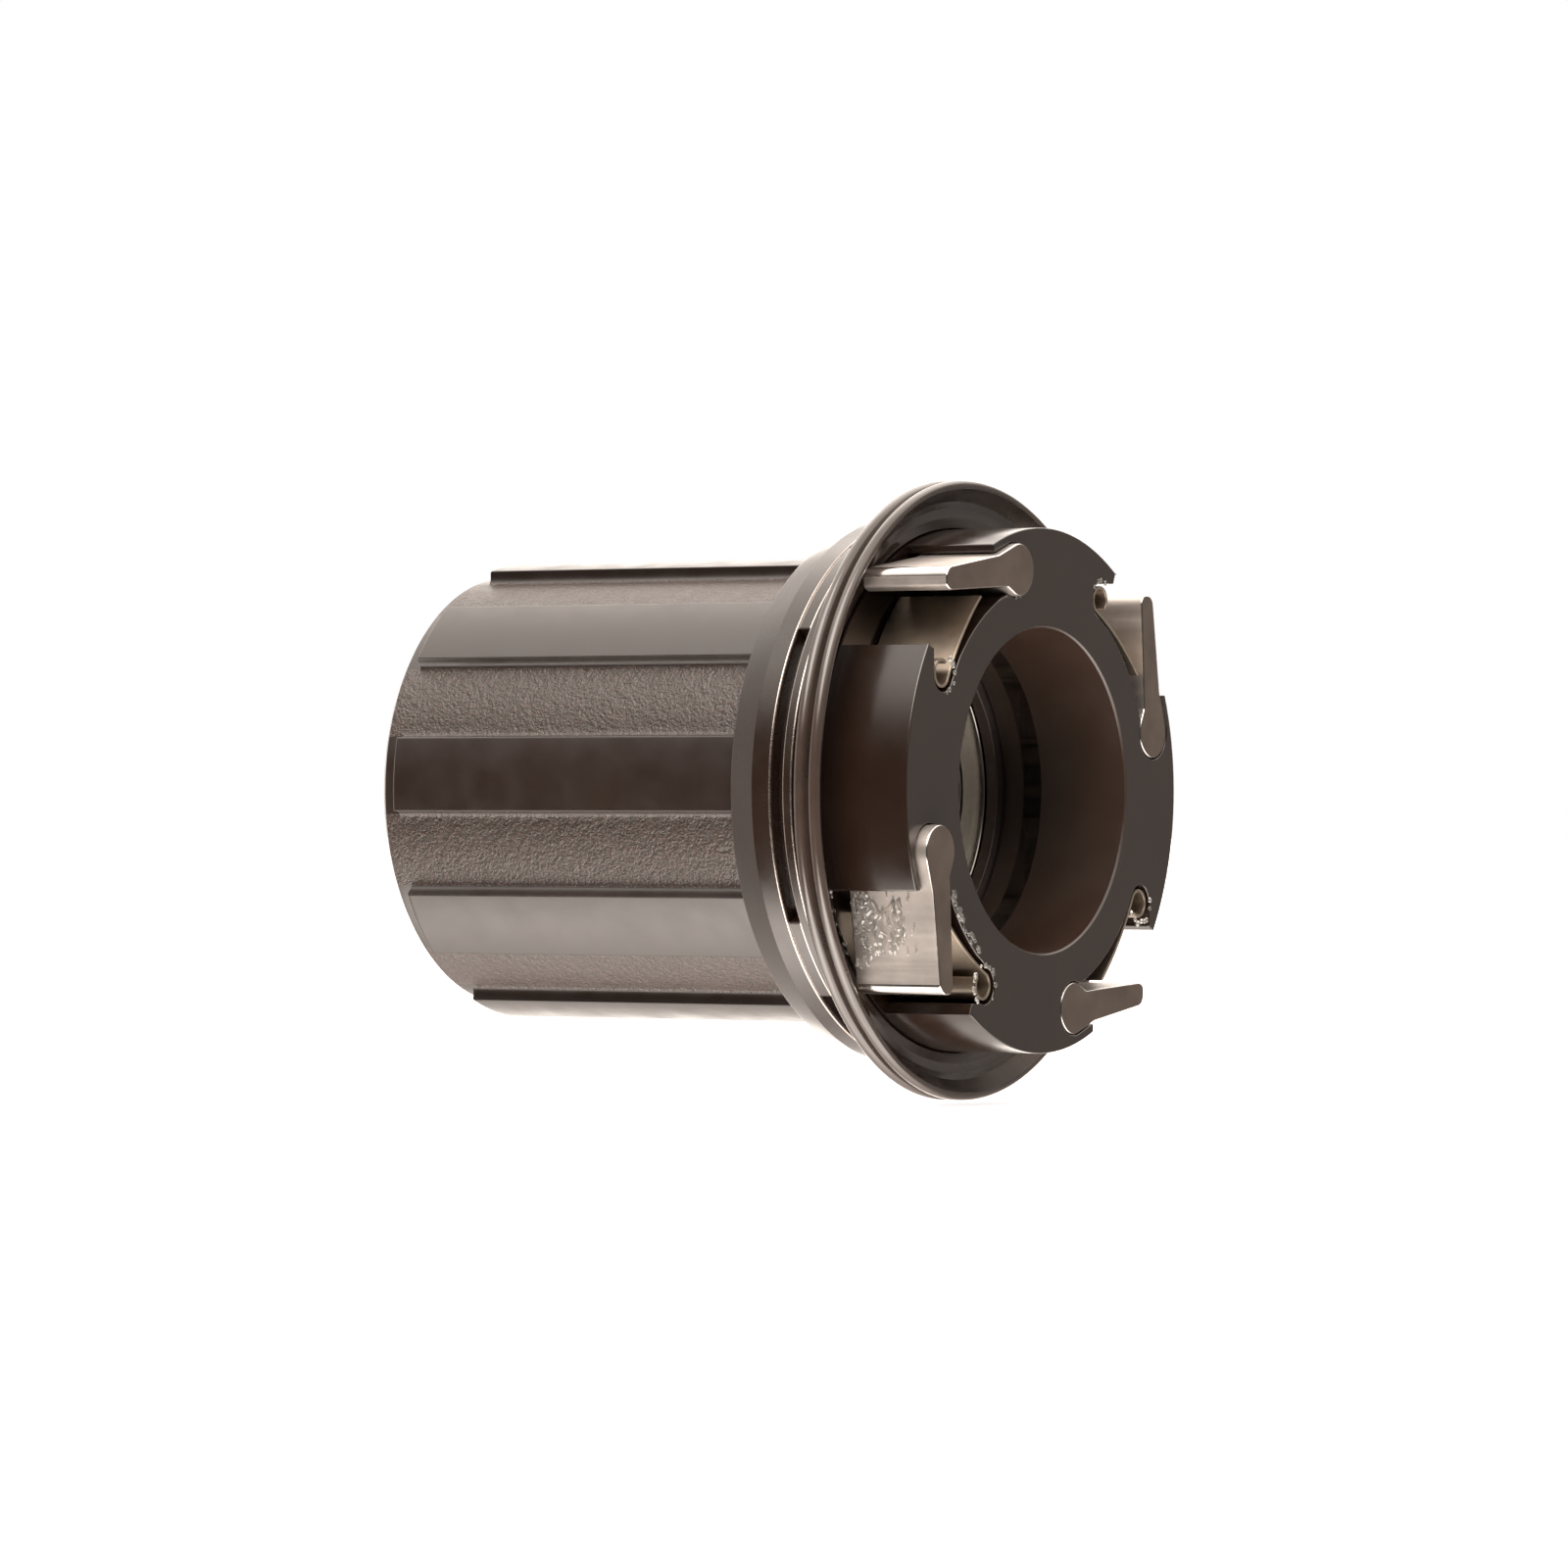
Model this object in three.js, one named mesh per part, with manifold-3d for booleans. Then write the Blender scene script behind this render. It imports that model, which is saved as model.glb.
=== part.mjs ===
// Cassette freehub body with four sprung pawls, lip seal and two cartridge bearings.
// Millimetres. +Y runs along the spin axis towards the pawl end, +Z is up, and the
// origin is the middle of the whole assembly on the spin axis.
//
// Two sets of coordinates are used while the shapes are drawn:
//   station  distance along the axis from the outboard end face (lockring end)
//   face view  the pawl end seen face on: x to the right (model -X), y up (model +Z)

import * as THREE from 'three';
import { mergeVertices } from 'three/addons/utils/BufferGeometryUtils.js';
import Module from 'manifold-3d';

const wasm = await Module();
wasm.setup();

const rad = THREE.MathUtils.degToRad;

// ---- overall ------------------------------------------------------------------
const BODY_LENGTH = 48.54;
const PAWL_FLOAT = [0, 0.6, 0.96, 0];
const OVERALL_LENGTH = BODY_LENGTH + Math.max(...PAWL_FLOAT);
const BODY_SEGMENTS = 72;
const BEARING_SEGMENTS = 36;
const FINE_CURVE = 7;
const RING_CURVE = 20;
const RIDGE_CURVE = 3;
// How far a cutting shape runs past the surface it opens.
const CUT_CLEARANCE = 1;
// How far a joined blank is sunk into the solid it joins.
const WELD_DEPTH = 0.2;

// ---- splined drum ---------------------------------------------------------------
const SPLINES = 9;
const SPLINE_PITCH = 360 / SPLINES;
const SPLINE_TOP_R = 17.45;
const SPLINE_ROOT_R = 16.45;
const SPLINE_TOP_HALF = 9.18;
const SPLINE_ROOT_HALF = 11.33;
const SPLINE_PHASE = 175.86;
const INDEX_GROOVE_AFTER = 4;
const INDEX_EXTRA = 4.6;
const END_EDGE_R = 15.95;
const END_CONE_LENGTH = 0.5;
const RIDGE_FROM = 1.85;
const RIDGE_CHAMFER = 0.15;

// ---- shoulder, rim and its slots ---------------------------------------------------
const SHOULDER_AT = 33.55;
const SHOULDER_R = 19.5;
const RIM_R = 20.3;
const RIM_AT = 35.9;
const SCORE_AT = 37.52;
const SCORE_HALF = 0.12;
const SCORE_DEPTH = 0.25;
const SLOT_FROM = 37.55;
const SLOT_TO = 38.5;
const SLOT_FLOOR_R = 19.1;
const SLOT_SPANS = [[144.5, 208.2], [227.9, 298.2]];
const RIM_END = 39.3;
const SEAL_RELIEF_R = 18.9;
const SEAL_RELIEF_END = 39.6;

// ---- pawl carrier ---------------------------------------------------------------------
const PAWLS = 4;
const CARRIER_R = 19.42;
const CARRIER_CHAMFER = 0.2;
const POCKET_FROM = 41.15;
const POCKET_FLOOR_R = 15.35;
const POCKET_FLOOR_FROM = 23.2;
const POCKET_FLOOR_TO = 51.3;
const POCKET_NOSE = new THREE.Vector2(10.56, 16.32);
const POCKET_WALL_X = 10.25;
const POCKET_LIP = new THREE.Vector2(17.48, 7.25);
const PIVOT = new THREE.Vector2(16.2, 4.4);
const PIVOT_SOCKET_R = 2.08;
const SOCKET_FROM = 155;
const SOCKET_TO = 385;
const SPRING_HOLE = new THREE.Vector2(8.5, 14.24);
const SPRING_HOLE_R = 1.37;
const SPRING_HOLE_FROM = 68;
const SPRING_HOLE_TO = 248.7;

// ---- bores ---------------------------------------------------------------------------
const LOCKRING_R = 15.2;
const LOCKRING_DEPTH = 9;
const MOUTH_CHAMFER = 0.25;
const BEARING_BORE_R = 12.05;
const CENTRE_BORE_R = 10.9;
const RING_GROOVE_R = 12.95;
const RING_GROOVE_WIDTH = 1.1;

// ---- bearings, 15 x 24 x 5 --------------------------------------------------------------
const BEARING_R = 12;
const BEARING_HOLE_R = 7.5;
const BEARING_WIDTH = 5;
const OUTBOARD_BEARING_AT = 11;
const INBOARD_BEARING_AT = 31.7;
const BEARING_SEAT_GAP = 0.05;
const OUTER_LAND_R = 10.45;
const INNER_LAND_R = 8.95;
const SHIELD_STEP_R = 11.1;
const INNER_STEP_R = 8.05;
const SHIELD_STEP_HALF = 1.75;
const BALL_PITCH_R = 9.75;
const BALL_R = 1.15;
const BALLS = 9;
const RACE_GROOVE_R = 1.3;
const RACE_GROOVE_STEPS = [1, 0.35, -0.35, -1];
const CAGE_INNER_R = 9.3;
const CAGE_OUTER_R = 10.1;
const CAGE_HALF = 0.95;
const SHIELD_INNER_R = 8.3;
const SHIELD_OUTER_R = 10.97;
const SHIELD_FROM = 1.85;
const SHIELD_THICKNESS = 0.3;

// ---- spacer and snap rings ---------------------------------------------------------------
const SPACER_HOLE_R = 7.6;
const SPACER_R = 8.7;
const SPACER_GAP = 0.05;
const SNAP_RING_R = 12.8;
const SNAP_RING_HOLE_R = 11.15;
const SNAP_RING_THICKNESS = 0.95;
const SNAP_RING_GAP = 26;
const INBOARD_GAP_AT = 270;
const OUTBOARD_GAP_AT = 90;

// ---- pawls and springs ------------------------------------------------------------------
const PAWL_FROM = 41.34;
const PAWL_LENGTH = BODY_LENGTH - PAWL_FROM;
const PAWL_HEAD_R = 1.83;
const PAWL_HEAD_FROM = 150;
const PAWL_HEAD_TO = 380;
const PAWL_NECK = new THREE.Vector2(14.92, 6.2);
const PAWL_END_X = 14.48;
const PAWL_CORNER = new THREE.Vector2(15.4, 13.9);
const PAWL_CORNER_R = 0.85;
const PAWL_CORNER_FROM = 8.2;
const PAWL_SHOULDER = new THREE.Vector2(17.2, 7.4);
const SPRING_FROM = 41.45;
const SPRING_WIDTH = 6.95;
const SPRING_LOOP_R = 1.08;
const SPRING_THICKNESS = 0.26;
const SPRING_LOOP_FROM = -40;
const SPRING_LOOP_TO = 233;
const SPRING_LEAF_LENGTH = 7.85;
const SPRING_LEAF_BULGE = 0.34;

// ---- seal --------------------------------------------------------------------------------
const SEAL_HOLE_R = 19.5;
const SEAL_FROM = 39.7;
const SEAL_LIP_R = 23.05;
const SEAL_LIPS = [40.5, 41.74];
const SEAL_LIP_BEAD = 0.45;
const SEAL_BEAD_ANGLES = [-60, -20, 20, 60];
const SEAL_GROOVE_R = 22.2;
const SEAL_WEB_FROM = 20.9;
const SEAL_DISH_R = 21.4;
const SEAL_DISH_AT = 41;
const SEAL_RIDGE_R = 20.35;
const SEAL_RIDGE_HEIGHT = 0.1;

// ---- shape helpers ---------------------------------------------------------------------
const FACE_VIEW = new THREE.Matrix4().makeBasis(
  new THREE.Vector3(-1, 0, 0),
  new THREE.Vector3(0, 0, 1),
  new THREE.Vector3(0, 1, 0),
);

function polar(radius, degrees) {
  return new THREE.Vector2(radius * Math.cos(rad(degrees)), radius * Math.sin(rad(degrees)));
}

// A closed ring turned about the axis; the profile lists [radius, station] pairs,
// up the outside and back down the inside.
function turned(profile, segments) {
  const points = profile.map(([radius, station]) => new THREE.Vector2(radius, station));
  points.push(points[0].clone());
  return new THREE.LatheGeometry(points, segments);
}

// A face-view outline carried along the axis from one station.
function extruded(shape, station, length, curveSegments = FINE_CURVE) {
  const geometry = new THREE.ExtrudeGeometry(shape, {
    depth: length,
    bevelEnabled: false,
    curveSegments,
  });
  geometry.applyMatrix4(FACE_VIEW);
  geometry.translate(0, station, 0);
  return geometry;
}

// Turns a copy of a geometry about the axis, counter-clockwise in the face view.
function spun(geometry, degrees) {
  return geometry.clone().rotateY(rad(degrees));
}

function toSolid(geometry) {
  const bare = geometry.clone();
  bare.deleteAttribute('normal');
  bare.deleteAttribute('uv');
  const welded = mergeVertices(bare, 1e-4);
  return new wasm.Manifold(new wasm.Mesh({
    numProp: 3,
    vertProperties: new Float32Array(welded.attributes.position.array),
    triVerts: new Uint32Array(welded.index.array),
  }));
}

function toGeometry(solid) {
  const mesh = solid.getMesh();
  const geometry = new THREE.BufferGeometry();
  geometry.setAttribute('position', new THREE.BufferAttribute(mesh.vertProperties, mesh.numProp));
  geometry.setIndex(new THREE.BufferAttribute(mesh.triVerts, 1));
  geometry.computeVertexNormals();
  return geometry;
}

// An arc-sided sector of a ring, drawn in the face view.
function sector(innerR, outerR, from, to) {
  const shape = new THREE.Shape();
  shape.absarc(0, 0, outerR, rad(from), rad(to), false);
  shape.absarc(0, 0, innerR, rad(to), rad(from), true);
  shape.closePath();
  return shape;
}

// ---- cassette body -------------------------------------------------------------------------
function bodyOutside() {
  return [
    [END_EDGE_R, 0],
    [SPLINE_ROOT_R, END_CONE_LENGTH],
    [SPLINE_ROOT_R, SHOULDER_AT],
    [SHOULDER_R, SHOULDER_AT],
    [RIM_R, RIM_AT],
    [RIM_R, SCORE_AT - SCORE_HALF],
    [RIM_R - SCORE_DEPTH, SCORE_AT],
    [RIM_R, SCORE_AT + SCORE_HALF],
    [RIM_R, RIM_END],
    [SEAL_RELIEF_R, RIM_END],
    [SEAL_RELIEF_R, SEAL_RELIEF_END],
    [CARRIER_R, SEAL_RELIEF_END],
    [CARRIER_R, BODY_LENGTH - CARRIER_CHAMFER],
    [CARRIER_R - CARRIER_CHAMFER, BODY_LENGTH],
  ];
}

function bodyInside() {
  const inboardEnd = INBOARD_BEARING_AT + BEARING_WIDTH + BEARING_SEAT_GAP;
  const outboardEnd = OUTBOARD_BEARING_AT - BEARING_SEAT_GAP;
  return [
    [BEARING_BORE_R + MOUTH_CHAMFER, BODY_LENGTH],
    [BEARING_BORE_R, BODY_LENGTH - MOUTH_CHAMFER],
    [BEARING_BORE_R, inboardEnd + RING_GROOVE_WIDTH],
    [RING_GROOVE_R, inboardEnd + RING_GROOVE_WIDTH],
    [RING_GROOVE_R, inboardEnd],
    [BEARING_BORE_R, inboardEnd],
    [BEARING_BORE_R, INBOARD_BEARING_AT - BEARING_SEAT_GAP],
    [CENTRE_BORE_R, INBOARD_BEARING_AT - BEARING_SEAT_GAP],
    [CENTRE_BORE_R, OUTBOARD_BEARING_AT + BEARING_WIDTH + BEARING_SEAT_GAP],
    [BEARING_BORE_R, OUTBOARD_BEARING_AT + BEARING_WIDTH + BEARING_SEAT_GAP],
    [BEARING_BORE_R, outboardEnd],
    [RING_GROOVE_R, outboardEnd],
    [RING_GROOVE_R, outboardEnd - RING_GROOVE_WIDTH],
    [BEARING_BORE_R, outboardEnd - RING_GROOVE_WIDTH],
    [BEARING_BORE_R, LOCKRING_DEPTH],
    [LOCKRING_R, LOCKRING_DEPTH],
    [LOCKRING_R, MOUTH_CHAMFER],
    [LOCKRING_R + MOUTH_CHAMFER, 0],
  ];
}

// One spline ridge with splayed walls; extra degrees widen the side that borders
// the narrow index groove.
function splineShape(extraBefore, extraAfter) {
  const sink = WELD_DEPTH / (SPLINE_TOP_R - SPLINE_ROOT_R);
  const foot = SPLINE_ROOT_R - WELD_DEPTH;
  const footHalf = SPLINE_ROOT_HALF + sink * (SPLINE_ROOT_HALF - SPLINE_TOP_HALF);
  const before = polar(foot, -footHalf - extraBefore);
  const after = polar(foot, footHalf + extraAfter);
  const topFrom = -SPLINE_TOP_HALF - extraBefore;
  const topTo = SPLINE_TOP_HALF + extraAfter;
  const shape = new THREE.Shape();
  shape.absarc(0, 0, SPLINE_TOP_R, rad(topFrom), rad(topTo), false);
  shape.lineTo(after.x, after.y);
  shape.lineTo(before.x, before.y);
  shape.closePath();
  return shape;
}

// The nine ridges, squared off a little way in from the end, their end edges chamfered.
function splineRidges() {
  const clearR = SPLINE_TOP_R + CUT_CLEARANCE;
  const envelope = new THREE.LatheGeometry([
    new THREE.Vector2(0, RIDGE_FROM),
    new THREE.Vector2(SPLINE_TOP_R - RIDGE_CHAMFER, RIDGE_FROM),
    new THREE.Vector2(clearR, RIDGE_FROM + RIDGE_CHAMFER + CUT_CLEARANCE),
    new THREE.Vector2(clearR, RIM_AT),
    new THREE.Vector2(0, RIM_AT),
  ], BODY_SEGMENTS);
  let ridges = null;
  for (let i = 0; i < SPLINES; i += 1) {
    const before = i === (INDEX_GROOVE_AFTER + 1) % SPLINES ? INDEX_EXTRA : 0;
    const after = i === INDEX_GROOVE_AFTER ? INDEX_EXTRA : 0;
    const blank = extruded(splineShape(before, after), 0, SHOULDER_AT + WELD_DEPTH, RIDGE_CURVE);
    const ridge = toSolid(spun(blank, SPLINE_PHASE + i * SPLINE_PITCH));
    ridges = ridges ? ridges.add(ridge) : ridge;
  }
  return ridges.intersect(toSolid(envelope));
}

// One pocket: open outwards, with the pawl's round socket at one end, the spring's
// round hole at the other and the pocket floor between them.
function pocketShape() {
  const outerR = CARRIER_R + 3 * CUT_CLEARANCE;
  const lipAngle = THREE.MathUtils.radToDeg(POCKET_LIP.angle());
  const noseAngle = THREE.MathUtils.radToDeg(POCKET_NOSE.angle());
  const shape = new THREE.Shape();
  shape.moveTo(POCKET_LIP.x, POCKET_LIP.y);
  for (const degrees of [lipAngle, (lipAngle + noseAngle) / 2, noseAngle]) {
    const corner = polar(outerR, degrees);
    shape.lineTo(corner.x, corner.y);
  }
  const holeTop = polar(SPRING_HOLE_R, SPRING_HOLE_FROM).add(SPRING_HOLE);
  shape.lineTo(POCKET_NOSE.x, POCKET_NOSE.y);
  shape.lineTo(POCKET_WALL_X, holeTop.y);
  shape.absarc(SPRING_HOLE.x, SPRING_HOLE.y, SPRING_HOLE_R,
    rad(SPRING_HOLE_FROM), rad(SPRING_HOLE_TO), false);
  shape.absarc(0, 0, POCKET_FLOOR_R, rad(POCKET_FLOOR_TO), rad(POCKET_FLOOR_FROM), true);
  shape.absarc(PIVOT.x, PIVOT.y, PIVOT_SOCKET_R, rad(SOCKET_FROM), rad(SOCKET_TO), false);
  shape.closePath();
  return shape;
}

function cassetteBody() {
  const profile = [...bodyOutside(), ...bodyInside()];
  let body = toSolid(turned(profile, BODY_SEGMENTS)).add(splineRidges());
  for (const [from, to] of SLOT_SPANS) {
    const outline = sector(SLOT_FLOOR_R, RIM_R + CUT_CLEARANCE, from, to);
    const slot = extruded(outline, SLOT_FROM, SLOT_TO - SLOT_FROM);
    body = body.subtract(toSolid(slot));
    body = body.subtract(toSolid(spun(slot, 180)));
  }
  const pocketDepth = BODY_LENGTH + CUT_CLEARANCE - POCKET_FROM;
  const pocket = extruded(pocketShape(), POCKET_FROM, pocketDepth);
  for (let i = 0; i < PAWLS; i += 1) {
    body = body.subtract(toSolid(spun(pocket, i * 360 / PAWLS)));
  }
  return toGeometry(body);
}

// ---- pawls and springs ---------------------------------------------------------------------
// Round head on the pivot, an arm that narrows outwards, and a blunt end whose outer
// corner is rounded.
function pawlShape() {
  const shape = new THREE.Shape();
  shape.absarc(PIVOT.x, PIVOT.y, PAWL_HEAD_R, rad(PAWL_HEAD_FROM), rad(PAWL_HEAD_TO), false);
  shape.lineTo(PAWL_SHOULDER.x, PAWL_SHOULDER.y);
  shape.absarc(PAWL_CORNER.x, PAWL_CORNER.y, PAWL_CORNER_R,
    rad(PAWL_CORNER_FROM), rad(90), false);
  shape.lineTo(PAWL_END_X, PAWL_CORNER.y + PAWL_CORNER_R);
  shape.lineTo(PAWL_NECK.x, PAWL_NECK.y);
  shape.closePath();
  return shape;
}

function pawl(index) {
  const blank = extruded(pawlShape(), PAWL_FROM + PAWL_FLOAT[index], PAWL_LENGTH);
  return spun(blank, index * 360 / PAWLS);
}

// A leaf edge between two points, bowed sideways; the curve passes half as far out
// as its control point.
function bow(start, end, outward) {
  return start.clone().lerp(end, 0.5).addScaledVector(outward, 2 * SPRING_LEAF_BULGE);
}

// A flat strip rolled into a loop at one end, leaving it along a slightly bowed leaf.
function springShape() {
  const inner = SPRING_LOOP_R - SPRING_THICKNESS;
  const along = polar(1, SPRING_LOOP_TO + 90);
  const leafOuter = polar(SPRING_LOOP_R, SPRING_LOOP_TO).add(SPRING_HOLE);
  const leafInner = polar(inner, SPRING_LOOP_TO).add(SPRING_HOLE);
  const outward = new THREE.Vector2(-along.y, along.x);
  const endOuter = leafOuter.clone().addScaledVector(along, SPRING_LEAF_LENGTH);
  const endInner = leafInner.clone().addScaledVector(along, SPRING_LEAF_LENGTH);
  const bowOuter = bow(leafOuter, endOuter, outward);
  const bowInner = bow(leafInner, endInner, outward);
  const shape = new THREE.Shape();
  shape.absarc(SPRING_HOLE.x, SPRING_HOLE.y, SPRING_LOOP_R,
    rad(SPRING_LOOP_FROM), rad(SPRING_LOOP_TO), false);
  shape.quadraticCurveTo(bowOuter.x, bowOuter.y, endOuter.x, endOuter.y);
  shape.lineTo(endInner.x, endInner.y);
  shape.quadraticCurveTo(bowInner.x, bowInner.y, leafInner.x, leafInner.y);
  shape.absarc(SPRING_HOLE.x, SPRING_HOLE.y, inner,
    rad(SPRING_LOOP_TO), rad(SPRING_LOOP_FROM), true);
  shape.closePath();
  return shape;
}

function pawlSpring(index) {
  const blank = extruded(springShape(), SPRING_FROM, SPRING_WIDTH);
  return spun(blank, index * 360 / PAWLS);
}

// ---- lip seal -----------------------------------------------------------------------------
// The rounded edge of one lip; its middle flat touches the full lip radius.
function beadPoints(station) {
  const centreR = SEAL_LIP_R - SEAL_LIP_BEAD;
  const flatReach = polar(1, SEAL_BEAD_ANGLES[2]).x;
  return SEAL_BEAD_ANGLES.map((degrees) => {
    const offset = polar(SEAL_LIP_BEAD, degrees);
    return [centreR + offset.x / flatReach, station + offset.y];
  });
}

function lipSeal() {
  const [outboardLip, inboardLip] = SEAL_LIPS;
  return turned([
    [SEAL_HOLE_R, SEAL_FROM],
    [SEAL_WEB_FROM, SEAL_FROM],
    ...beadPoints(outboardLip),
    [SEAL_GROOVE_R, (outboardLip + inboardLip) / 2],
    ...beadPoints(inboardLip),
    [SEAL_DISH_R, SEAL_DISH_AT],
    [SEAL_RIDGE_R, SEAL_DISH_AT + SEAL_RIDGE_HEIGHT],
    [SEAL_HOLE_R, SEAL_DISH_AT - SEAL_RIDGE_HEIGHT],
  ], BODY_SEGMENTS);
}

// ---- cartridge bearings ---------------------------------------------------------------------
// Points of the ball groove across a race, from one edge to the other.
function groovePoints(landR, middle) {
  const depth = Math.abs(landR - BALL_PITCH_R);
  const reach = Math.acos(depth / RACE_GROOVE_R);
  const side = Math.sign(landR - BALL_PITCH_R);
  return RACE_GROOVE_STEPS.map((step) => [
    BALL_PITCH_R + side * RACE_GROOVE_R * Math.cos(reach * step),
    middle + RACE_GROOVE_R * Math.sin(reach * step),
  ]);
}

function outerRace(start) {
  const middle = start + BEARING_WIDTH / 2;
  return turned([
    [SHIELD_STEP_R, start],
    [BEARING_R, start],
    [BEARING_R, start + BEARING_WIDTH],
    [SHIELD_STEP_R, start + BEARING_WIDTH],
    [SHIELD_STEP_R, middle + SHIELD_STEP_HALF],
    [OUTER_LAND_R, middle + SHIELD_STEP_HALF],
    ...groovePoints(OUTER_LAND_R, middle),
    [OUTER_LAND_R, middle - SHIELD_STEP_HALF],
    [SHIELD_STEP_R, middle - SHIELD_STEP_HALF],
  ], BEARING_SEGMENTS);
}

function innerRace(start) {
  const middle = start + BEARING_WIDTH / 2;
  return turned([
    [BEARING_HOLE_R, start],
    [INNER_STEP_R, start],
    [INNER_STEP_R, middle - SHIELD_STEP_HALF],
    [INNER_LAND_R, middle - SHIELD_STEP_HALF],
    ...groovePoints(INNER_LAND_R, middle).reverse(),
    [INNER_LAND_R, middle + SHIELD_STEP_HALF],
    [INNER_STEP_R, middle + SHIELD_STEP_HALF],
    [INNER_STEP_R, start + BEARING_WIDTH],
    [BEARING_HOLE_R, start + BEARING_WIDTH],
  ], BEARING_SEGMENTS);
}

function ballCage(start) {
  const middle = start + BEARING_WIDTH / 2;
  let cage = toSolid(turned([
    [CAGE_INNER_R, middle - CAGE_HALF],
    [CAGE_OUTER_R, middle - CAGE_HALF],
    [CAGE_OUTER_R, middle + CAGE_HALF],
    [CAGE_INNER_R, middle + CAGE_HALF],
  ], BEARING_SEGMENTS));
  const ball = new THREE.SphereGeometry(BALL_R, 8, 5);
  ball.translate(BALL_PITCH_R, middle, 0);
  for (let i = 0; i < BALLS; i += 1) {
    cage = cage.add(toSolid(spun(ball, i * 360 / BALLS)));
  }
  return toGeometry(cage);
}

function shield(start, side) {
  const middle = start + BEARING_WIDTH / 2;
  const low = side > 0 ? middle + SHIELD_FROM : middle - SHIELD_FROM - SHIELD_THICKNESS;
  return turned([
    [SHIELD_INNER_R, low],
    [SHIELD_OUTER_R, low],
    [SHIELD_OUTER_R, low + SHIELD_THICKNESS],
    [SHIELD_INNER_R, low + SHIELD_THICKNESS],
  ], BEARING_SEGMENTS);
}

// ---- spacer and snap rings ---------------------------------------------------------------
function bearingSpacer() {
  const from = OUTBOARD_BEARING_AT + BEARING_WIDTH + SPACER_GAP;
  const to = INBOARD_BEARING_AT - SPACER_GAP;
  return turned([
    [SPACER_HOLE_R, from],
    [SPACER_R, from],
    [SPACER_R, to],
    [SPACER_HOLE_R, to],
  ], BEARING_SEGMENTS);
}

function snapRing(station, gapAngle) {
  const half = SNAP_RING_GAP / 2;
  const shape = sector(SNAP_RING_HOLE_R, SNAP_RING_R, gapAngle + half, gapAngle + 360 - half);
  return extruded(shape, station, SNAP_RING_THICKNESS, RING_CURVE);
}

// ---- materials -----------------------------------------------------------------------------
function metal(color, roughness, metalness) {
  return new THREE.MeshStandardMaterial({ color, roughness, metalness });
}

const anodised = () => metal(0x2b2220, 0.42, 0.7);
const pawlSteel = () => metal(0x8a7e74, 0.4, 0.9);
const springSteel = () => metal(0xb8b2aa, 0.3, 0.95);
const raceSteel = () => metal(0xc9c4bc, 0.22, 1);
const shieldFace = () => metal(0xcbc5b6, 0.45, 0.3);
const cageMetal = () => metal(0xaaa69c, 0.35, 0.8);
const sealRubber = () => metal(0x1d1817, 0.5, 0);
const spacerAlloy = () => metal(0x9a9a98, 0.4, 0.9);
const ringSteel = () => metal(0x3a3634, 0.35, 0.9);

// ---- assembly --------------------------------------------------------------------------------
const assembly = new THREE.Group();
assembly.name = 'freehub_body_assembly';

function place(name, geometry, material) {
  geometry.translate(0, -OVERALL_LENGTH / 2, 0);
  const mesh = new THREE.Mesh(geometry, material);
  mesh.name = name;
  assembly.add(mesh);
}

place('cassette_body', cassetteBody(), anodised());
place('lip_seal', lipSeal(), sealRubber());

for (let i = 0; i < PAWLS; i += 1) {
  place(`pawl_${i + 1}`, pawl(i), pawlSteel());
  place(`pawl_spring_${i + 1}`, pawlSpring(i), springSteel());
}

const bearings = { outboard: OUTBOARD_BEARING_AT, inboard: INBOARD_BEARING_AT };
for (const [end, start] of Object.entries(bearings)) {
  place(`${end}_outer_race`, outerRace(start), raceSteel());
  place(`${end}_inner_race`, innerRace(start), raceSteel());
  place(`${end}_ball_cage`, ballCage(start), cageMetal());
  place(`${end}_shield_outer`, shield(start, end === 'inboard' ? 1 : -1), shieldFace());
  place(`${end}_shield_inner`, shield(start, end === 'inboard' ? -1 : 1), shieldFace());
}

place('bearing_spacer', bearingSpacer(), spacerAlloy());

const ringPlay = (RING_GROOVE_WIDTH - SNAP_RING_THICKNESS) / 2;
const inboardRingAt = INBOARD_BEARING_AT + BEARING_WIDTH + BEARING_SEAT_GAP + ringPlay;
const outboardRingAt = OUTBOARD_BEARING_AT - BEARING_SEAT_GAP - RING_GROOVE_WIDTH + ringPlay;
place('inboard_snap_ring', snapRing(inboardRingAt, INBOARD_GAP_AT), ringSteel());
place('outboard_snap_ring', snapRing(outboardRingAt, OUTBOARD_GAP_AT), ringSteel());

export default assembly;
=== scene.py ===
"""Cassette freehub body: the looks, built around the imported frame.

Metres throughout. +Y is the spin axis towards the pawl end, +Z is up. Shapes are drawn
in millimetres in two helper coordinates and placed by at():
  station    distance along the axis from the outboard end face
  face view  the pawl end seen face on, x to the right (-X of the frame), y up (+Z)
"""

import math
import random

import bmesh
import bpy
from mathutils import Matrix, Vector, geometry, noise


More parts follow.
